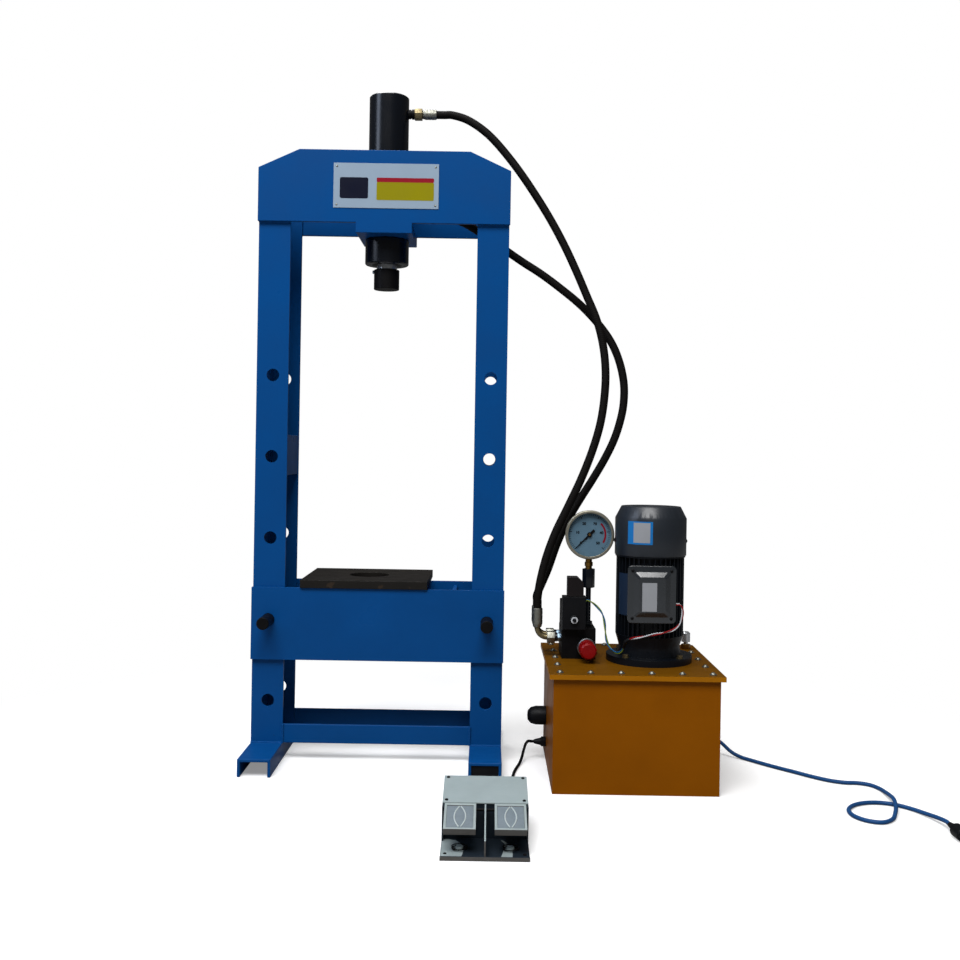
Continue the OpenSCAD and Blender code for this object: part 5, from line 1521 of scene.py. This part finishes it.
@dataclass
class Motor:
    """Flange-mounted motor with its fan cowl, terminal box and pump."""

    machine: Machine
    label_mm: float = 0.35
    fin_share: float = 0.955
    box_corner_mm: float = 9.0
    least_corner_mm: float = 3.0
    corner_loss: float = 0.12
    box_screw_mm: float = 11.0
    box_cover_mm: float = 8.0
    cowl_screw_mm: float = 33.0

    def build_terminal_box(self) -> None:
        """Build the terminal box: a body, a flanged cover and a panel with broad bevels."""
        low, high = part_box("terminal_box")
        depth = (high.y - low.y) / MM
        # Each section's inset from the box's sides and its depth behind the box's front
        sections = (
            (6.0, depth), (6.0, 16.2), (1.0, 16.2), (0.0, 15.0), (0.0, 9.0), (1.2, 8.0),
            (13.0, 8.0), (14.4, 7.2), (24.6, 0.5), (26.2, 0.0),
        )
        rings = []
        for inset, y in sections:
            step = Vector((inset, 0, inset)) * MM
            corner = max(self.box_corner_mm - inset * self.corner_loss, self.least_corner_mm)
            shape = rounded_outline(low + step, high - step, corner)
            rings.append([Vector((x, low.y + y * MM, z)) for x, z in shape])
        box = weighted(new_piece("terminal_box_cast", loft_mesh(rings), Finishes.TERMINAL, smooth_deg=50))
        self.machine.stand_in(box, "terminal_box")

    def build_labels(self) -> None:
        """Stick bare fields of colour on the cowl, the fins and the terminal box."""
        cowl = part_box("motor_cowl")
        axis = middle(cowl)
        axis.z = 0
        skin = (cowl[1].x - cowl[0].x) / 2 + self.label_mm * MM / 2
        # Each patch's radius, its angles and how far its edges lie below the cowl's top
        patches = (
            ("cowl_sticker", Finishes.SKY_PRINT, skin, (-136.5, -95), (87, 33)),
            ("cowl_sticker_panel", Finishes.GREY_PRINT, skin + PRINT_MM * MM, (-126, -99), (83, 36)),
            ("fin_nameplate", Finishes.SLATE_PRINT, skin * self.fin_share, (-161, -138), (257, 158)),
        )
        for name, finish, radius, angles, drops in patches:
            heights = tuple(cowl[1].z - drop * MM for drop in drops)
            new_piece(name, curved_field_mesh(axis, radius, angles, heights, self.label_mm), finish)
        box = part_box("terminal_box")
        corners = ((-23.5, -0.2, -38), (10.5, 0.3, 28))
        first, last = (front_of(box) + Vector(corner) * MM for corner in corners)
        new_piece("terminal_label", field_mesh(first, last, 1.0), Finishes.GREY_PRINT)
        spots = corner_spots(box, self.box_screw_mm, box[0].y + self.box_cover_mm * MM)
        Fasteners(Head.DOME, 7.5, 3.0).place("terminal_screws", spots, FRONT, Finishes.OXIDE)
        screw = Fasteners(Head.DOME, 9.0, 3.5, 12.0, 1.0)
        axis.z = cowl[0].z + self.cowl_screw_mm * MM
        for index, turn in enumerate((0, 90, 180)):
            out = polar(turn)
            screw.place(f"cowl_screw_{index}", [axis + out * skin], out, Finishes.OXIDE)

    def build(self) -> None:
        """Dress the motor and pump."""
        dress = self.machine.dress
        dress("motor_flange", Finishes.MOTOR, 1.5)
        dress("motor_housing", Finishes.MOTOR)
        # The cowl is one round pressing, so it keeps plain smooth normals
        dress("motor_cowl", Finishes.COWL, 0.8).modifiers.clear()
        self.build_terminal_box()
        inside = {
            "motor_stator": Finishes.COPPER, "motor_rotor": Finishes.STEEL,
            "motor_bearings": Finishes.STEEL, "motor_fan": Finishes.PLASTIC,
            "pump_drive": Finishes.STEEL, "pump": Finishes.CASTING, "suction_strainer": Finishes.ZINC,
        }
        for node, finish in inside.items():
            dress(node, finish)
        self.build_labels()


@dataclass
class ValveBlock:
    """Valve block with its solenoid valve, relief valve and hose elbows.

    The adapter and the nut have a width across flats and a length, the ring a radius and a length.
    """

    machine: Machine
    port_up_mm: float = 48.0
    adapter_mm: tuple[float, float] = (20.0, 9.0)
    ring_mm: tuple[float, float] = (11.0, 6.0)
    nut_mm: tuple[float, float] = (27.0, 19.0)
    bend_mm: float = 24.0
    bend_steps: int = 16
    pipe_mm: float = 14.0
    pipe_in_mm: float = 4.0
    ferrule_mm: float = 12.5
    lock_ring_in_mm: float = 0.4

    def build_elbows(self) -> None:
        """Build each side fitting: adapter, black ring, nut, bent pipe and ferrule."""
        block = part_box("manifold_block")
        bend = self.bend_mm * MM
        angles = [math.radians(90 * i / self.bend_steps) for i in range(self.bend_steps + 1)]
        for index, box in enumerate(islands(self.machine.nodes["block_fittings"])):
            name = f"elbow_{index}"
            start = Vector((block[0].x, middle(box).y, block[0].z + self.port_up_mm * MM))
            hexagon = hex_mesh(*self.adapter_mm, start, LEFT)
            adapter = new_piece(f"{name}_adapter", hexagon, Finishes.BLUE_ZINC)
            if index == 0:
                self.machine.stand_in(adapter, "block_fittings")
            start = start + LEFT * self.adapter_mm[1] * MM
            turned_piece(f"{name}_ring", rod_profile(*self.ring_mm, 1.0), start, LEFT, Finishes.BLACK)
            start = start + LEFT * self.ring_mm[1] * MM
            new_piece(f"{name}_nut", hex_mesh(*self.nut_mm, start, LEFT), Finishes.ZINC)
            start = start + LEFT * self.nut_mm[1] * MM
            arc = [start + LEFT * math.sin(a) * bend + UP * (1 - math.cos(a)) * bend for a in angles]
            line = [start - LEFT * self.pipe_in_mm * MM, *arc]
            pipe = tube_mesh(line, self.pipe_mm * MM / 2, 28)
            new_piece(f"{name}_pipe", pipe, Finishes.YELLOW_ZINC, smooth_deg=60)
            crimped = ferrule_profile(self.ferrule_mm, (box[1].z - arc[-1].z) / MM)
            turned_piece(f"{name}_ferrule", crimped, arc[-1], UP, Finishes.ZINC)

    def build(self) -> None:
        """Dress the block and its valves."""
        solids = (
            ("manifold_block", Finishes.OXIDE, 1.0), ("valve_body", Finishes.OXIDE, 1.5),
            ("solenoid_coil", Finishes.PLASTIC, 1.5), ("valve_connector", Finishes.BROWN_PLASTIC, 1.5),
            ("override_button", Finishes.PLASTIC, 0.5), ("relief_collar", Finishes.STEEL, 0.8),
            ("relief_knob", Finishes.RED, 0.8),
        )
        for node, finish, ease_mm in solids:
            self.machine.dress(node, finish, ease_mm)
        collar = front_of(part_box("relief_collar")) + BACK * self.lock_ring_in_mm * MM
        turned_piece("relief_lock_ring", (
            (17.4, 0), (21.6, 0), (22.6, 1.0), (22.6, 9.0), (21.6, 10), (17.4, 10),
        ), collar, BACK, Finishes.STEEL, 72)
        button = middle(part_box("override_button"))
        button.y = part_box("solenoid_coil")[0].y
        turned_piece("override_ring", (
            (4.8, -0.5), (8.2, -0.5), (8.2, 0.5), (4.8, 0.5),
        ), button, FRONT, Finishes.WHITE_WIRE)
        self.build_elbows()


@dataclass
class Gauge:
    """Pressure gauge on its stem.

    A tick has a length and a width, the pipe a radius and a length, and the two hexagons a width across
    flats and a length. What ends in in_mm is a distance in from the dial's edge.
    """

    machine: Machine
    marks: int = 51
    sweep_deg: float = 270.0
    tick_in_mm: float = 6.0
    tick_mm: tuple[float, float] = (4.2, 1.1)
    long_tick_mm: tuple[float, float] = (7.0, 1.9)
    numbers: tuple[int, ...] = (0, 10, 20, 30, 40, 50)
    number_mm: float = 9.0
    number_in_mm: float = 27.0
    band_in_mm: tuple[float, float] = (20.0, 15.5)
    band_deg: tuple[float, float] = (-30.0, 45.0)
    band_steps: int = 32
    hub_mm: float = 5.6
    hub_t_mm: float = 0.8
    hub_sunk_mm: float = 0.2
    pipe_mm: tuple[float, float] = (6.5, 100.0)
    foot_mm: tuple[float, float] = (19.0, 12.0)
    coupling_mm: tuple[float, float] = (27.0, 46.0)
    coupling_up_mm: float = 94.0

    def build_stem(self) -> None:
        """Build the black pipe, the black coupling and the brass nipple."""
        low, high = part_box("gauge_stem")
        foot = middle((low, high))
        foot.z = low.z
        height = (high.z - low.z) / MM
        pipe = turned_piece("gauge_pipe", rod_profile(*self.pipe_mm, 0.8), foot, UP, Finishes.BLACK, 40)
        self.machine.stand_in(pipe, "gauge_stem")
        new_piece("gauge_pipe_foot", hex_mesh(*self.foot_mm, foot, UP), Finishes.BLACK)
        seat = foot + UP * self.coupling_up_mm * MM
        new_piece("gauge_coupling", hex_mesh(*self.coupling_mm, seat, UP), Finishes.BLACK)
        turned_piece("gauge_nipple", (
            (0, 138), (8, 138), (8, 146), (10, 147), (10, 156), (8, 157), (8, height), (0, height),
        ), foot, UP, Finishes.BRASS, 40)

    def build_dial(self) -> None:
        """Print ticks, numbers and a red band on the dial."""
        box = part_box("gauge_dial")
        edge = (box[1].x - box[0].x) / 2 / MM
        facing = Matrix.Translation(front_of(box)) @ Matrix.Rotation(math.pi / 2, 4, "X")
        ink = Finishes.BLACK_PRINT
        count = len(self.numbers)
        rows = (("dial_ticks", self.marks, self.tick_mm), ("dial_long_ticks", count, self.long_tick_mm))
        for name, marks, size in rows:
            Ticks(marks, edge - self.tick_in_mm, *size, self.sweep_deg).place(name, facing, ink)
        inner, outer = (edge - inset for inset in self.band_in_mm)
        section = ((inner, 0), (outer, 0), (outer, PRINT_MM), (inner, PRINT_MM))
        start, end = self.band_deg
        rings = []
        for i in range(self.band_steps + 1):
            out = polar(start + (end - start) * i / self.band_steps)
            rings.append([facing @ ((out * radius + UP * z) * MM) for radius, z in section])
        new_piece("dial_red_band", loft_mesh(rings), Finishes.RED_PRINT)
        for index, value in enumerate(self.numbers):
            out = polar(DIAL_START_DEG - self.sweep_deg * index / (count - 1))
            spot = out * (edge - self.number_in_mm) * MM
            new_piece(f"dial_number_{value}", number_mesh(str(value), self.number_mm, facing, spot), ink)

    def build(self) -> None:
        """Dress the gauge."""
        self.machine.dress("gauge_case", Finishes.BEZEL, 0.6)
        self.machine.dress("gauge_dial", Finishes.DIAL)
        self.machine.dress("gauge_needle", Finishes.BLACK_PRINT)
        self.machine.dress("gauge_glass", Finishes.GLASS)
        pivot = middle(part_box("gauge_dial"))
        pivot.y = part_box("gauge_needle")[0].y + self.hub_sunk_mm * MM
        hub = rod_profile(self.hub_mm / 2, self.hub_t_mm, 0.2)
        body = self.machine.body_of["gauge_needle"]
        turned_piece("needle_hub", hub, pivot, FRONT, Finishes.BRASS, 32, body)
        self.build_stem()
        self.build_dial()


@dataclass
class FootPedal:
    """Double foot pedal: base with switch housing, cover and two sloping treads.

    A rib has a width and a height. The pad and the patches of painted sunlight sink in and stand out
    by their two sizes. Ridges take shares of the pad's width and length, and buttons shares of the
    stop's width and height. Screws have distances from the sides and from the front or back.
    """

    machine: Machine
    tilt_deg: float = 15.0
    top_mm: float = 13.0
    front_mm: float = 79.0
    back_mm: float = 5.0
    border_mm: float = 5.0
    recess_mm: float = 2.0
    fit_mm: float = 0.4
    pad_mm: tuple[float, float] = (0.5, 0.8)
    ribs: int = 17
    rib_mm: tuple[float, float] = (1.1, 0.5)
    ridge_mm: float = 1.3
    ridge_gap_mm: float = 1.6
    ridge_share: tuple[float, float] = (0.215, 0.46)
    ridge_steps: int = 32
    seat_mm: float = 52.0
    floor_mm: float = 3.0
    stop_mm: float = 24.0
    stop_fit_mm: float = 0.5
    faces_above_mm: float = 0.3
    points_below_mm: float = 0.2
    button_share: tuple[float, float] = (0.62, 0.2)
    spring_mm: float = 14.2
    spring_wire_mm: float = 1.2
    spring_turns: float = 1.6
    spring_steps: int = 64
    spring_low_mm: float = 1.6
    spring_high_mm: float = 6.0
    seat_t_mm: tuple[float, float] = (0.3, 0.5)
    rib_up_mm: float = 20.0
    rib_half_mm: float = 2.0
    lip_mm: float = 12.0
    cover_t_mm: float = 3.0
    cover_screw_mm: tuple[float, float] = (8.0, 9.0)
    base_screw_mm: tuple[float, float] = (9.0, 28.0)
    # Outlines of the pale patches of painted sunlight on the base's floor, in millimetres from its corner
    seats: dict[str, list[tuple[float, float]]] = field(default_factory=lambda: {
        "left": [(1, 16), (2, 4), (38, 4), (42, 24), (44, 46), (42, 68), (37, 86), (28, 100), (14, 106),
                 (1, 107)],
        "right": [(114, 4), (137, 4), (138, 30), (137, 58), (131, 82), (125, 96), (116, 106), (124, 84),
                  (122, 62), (119, 34)],
    })

    def build_tread(self, side: str) -> None:
        """Dress one tread and lay its ribbed pad and two curved ridges.

        Args:
            side: Which tread, left or right.
        """
        node = f"{side}_pedal"
        body = self.machine.body_of[node]
        low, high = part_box(node)
        hinge = middle(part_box("pedal_axle"))
        hinge.x = (low.x + high.x) / 2
        turn = Matrix.Rotation(math.radians(self.tilt_deg), 4, "X")
        place = Matrix.Translation(hinge) @ turn
        tread = self.machine.dress(node, Finishes.TREAD, 1.5)
        upright = turn.to_3x3().inverted()
        # The tread's sides take a darker colour as painted shade
        second_finish(tread, Finishes.SKIRT, lambda face: abs((upright @ face.normal).z) < 0.4)
        half = (high.x - low.x) / 2 - (self.border_mm + self.fit_mm) * MM
        floor = self.top_mm - self.recess_mm
        sunk, proud = self.pad_mm
        first = Vector((-half, (self.fit_mm - self.front_mm) * MM, (floor - sunk) * MM))
        last = Vector((half, -(self.back_mm + self.fit_mm) * MM, (floor + proud) * MM))
        pad = box_mesh(first, last, 0.3)
        bmesh.ops.transform(pad, matrix=place, verts=pad.verts)
        new_piece(f"{side}_tread_pad", pad, Finishes.TREAD_PAD, body)
        size = last - first
        mid = Vector((0, (first.y + last.y) / 2, last.z))
        Ribs(self.ribs, size.x / MM, size.y / MM, *self.rib_mm).place(
            f"{side}_tread_ribs", mid, Finishes.TREAD_PAD, body, place)
        across, along = self.ridge_share
        tip = self.ridge_gap_mm * MM
        for index, way in enumerate((-1, 1)):
            line = []
            for i in range(self.ridge_steps + 1):
                run = 2 * i / self.ridge_steps - 1
                out = tip + (size.x * across - tip) * (1 - run * run)
                spot = mid + Vector((way * out, run * size.y * along, self.fit_mm * MM))
                line.append(place @ spot)
            ridge = tube_mesh(line, self.ridge_mm * MM, 10)
            new_piece(f"{side}_tread_oval_{index}", ridge, Finishes.RIDGE, body, 70)

    def stop_foot(self, side: str) -> Vector:
        """Return where the stop of one tread meets the base's floor."""
        low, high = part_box(f"{side}_pedal")
        axle = middle(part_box("pedal_axle"))
        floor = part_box("pedal_base")[0].z + self.floor_mm * MM
        return Vector(((low.x + high.x) / 2, axle.y - self.seat_mm * MM, floor))

    def slim_stop(self, base: Piece, side: str) -> None:
        """Turn one thick stop of the dressed base down to a pale button inside its spring.

        Args:
            base: The dressed base.
            side: Which tread it stops, left or right.
        """
        foot = self.stop_foot(side)
        reach = (self.stop_mm / 2 + self.stop_fit_mm) * MM

        def on_stop(spot: Vector, above_mm: float) -> bool:
            """Tell whether a point belongs to the stop, down to a height above the floor."""
            return spot.z > foot.z + above_mm * MM and (spot - foot).to_2d().length < reach

        second_finish(base, Finishes.PEDAL_COVER, lambda face: on_stop(face.center, self.faces_above_mm))
        across, along = self.button_share
        for vert in base.data.vertices:
            if on_stop(vert.co, -self.points_below_mm):
                out = vert.co - foot
                vert.co = foot + Vector((out.x * across, out.y * across, out.z * along))

    def build_spring(self, side: str) -> None:
        """Wind a spring round one stop and lay a pale patch of painted sunlight on the floor around it.

        Args:
            side: Which tread it lifts, left or right.
        """
        foot = self.stop_foot(side)
        line = []
        for i in range(self.spring_steps + 1):
            share = i / self.spring_steps
            rise = self.spring_low_mm + self.spring_high_mm * share
            out = polar(360 * self.spring_turns * share) * self.spring_mm
            line.append(foot + (out + UP * rise) * MM)
        coil = tube_mesh(line, self.spring_wire_mm * MM, 10)
        new_piece(f"{side}_tread_spring", coil, Finishes.OXIDE, smooth_deg=70)
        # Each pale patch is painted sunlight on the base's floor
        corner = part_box("pedal_base")[0]
        sunk, proud = self.seat_t_mm
        heights = (self.floor_mm - sunk, self.floor_mm + proud)
        rings = [[corner + Vector((x, y, z)) * MM for x, y in self.seats[side]] for z in heights]
        new_piece(f"{side}_painted_sun_patch", loft_mesh(rings), Finishes.PEDAL_COVER)

    def build_screws(self) -> None:
        """Screw the cover to the base, and the base down at its front corners."""
        low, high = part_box("pedal_cover")
        thick = self.cover_t_mm * MM
        slope = (high.z - low.z - thick) / (high.y - low.y)
        side, end = (inset * MM for inset in self.cover_screw_mm)
        spots = [Vector((x, y, low.z + thick + slope * (y - low.y)))
                 for x in (low.x + side, high.x - side) for y in (low.y + end, high.y - end)]
        screws = Fasteners(Head.DOME, 7.5, 2.6)
        screws.place("cover_screws", spots, Vector((0, -slope, 1)), Finishes.OXIDE)
        low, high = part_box("pedal_base")
        side, end = (inset * MM for inset in self.base_screw_mm)
        floor = low.z + self.floor_mm * MM
        spots = [Vector((x, low.y + end, floor)) for x in (low.x + side, high.x - side)]
        screws.place("base_screws", spots, UP, Finishes.OXIDE)

    def build_base(self) -> None:
        """Dress the base and its cover: the base and its front lip in painted shade, a pale rib top and
        pale stops.
        """
        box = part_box("pedal_base")
        mid_x = middle(box).x
        rib_z = box[0].z + self.rib_up_mm * MM
        rib_half = self.rib_half_mm * MM
        lip_y = box[0].y + self.lip_mm * MM
        # The base is painted dark as painted shade
        base = self.machine.dress("pedal_base", Finishes.PEDAL_BASE, 0.8)
        # The rib's top keeps the real pale coat where light falls, while the rest of the base is painted
        # shade
        second_finish(base, Finishes.PEDAL_COVER, lambda face: (
            abs(face.center.x - mid_x) < rib_half and face.normal.z > 0.5 and face.center.z > rib_z))
        # The base's front lip takes the same painted shade
        second_finish(base, Finishes.SKIRT, lambda face: face.normal.y < -0.5 and face.center.y < lip_y)
        for side in SIDES:
            self.slim_stop(base, side)
        self.machine.dress("pedal_cover", Finishes.PEDAL_COVER, 0.8)
        self.machine.dress("pedal_axle", Finishes.OXIDE)

    def build(self) -> None:
        """Dress the pedal."""
        self.build_base()
        self.build_screws()
        for side in SIDES:
            self.build_tread(side)
            self.build_spring(side)


def clear_scene() -> None:
    """Empty Blender's start-up scene."""
    for thing in list(bpy.data.objects):
        bpy.data.objects.remove(thing)


def main() -> None:
    """Build the machine's looks in order."""
    logging.basicConfig(level=logging.INFO, format="%(message)s")
    clear_scene()
    machine = Machine.load()
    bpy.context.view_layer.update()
    Studio().build()
    for assembly in (Cords, PressFrame, PressCylinder, Tank, Motor, ValveBlock, Gauge, FootPedal):
        assembly(machine).build()
        LOG.info("%s is built", assembly.__name__)


if __name__ == "__main__":
    main()
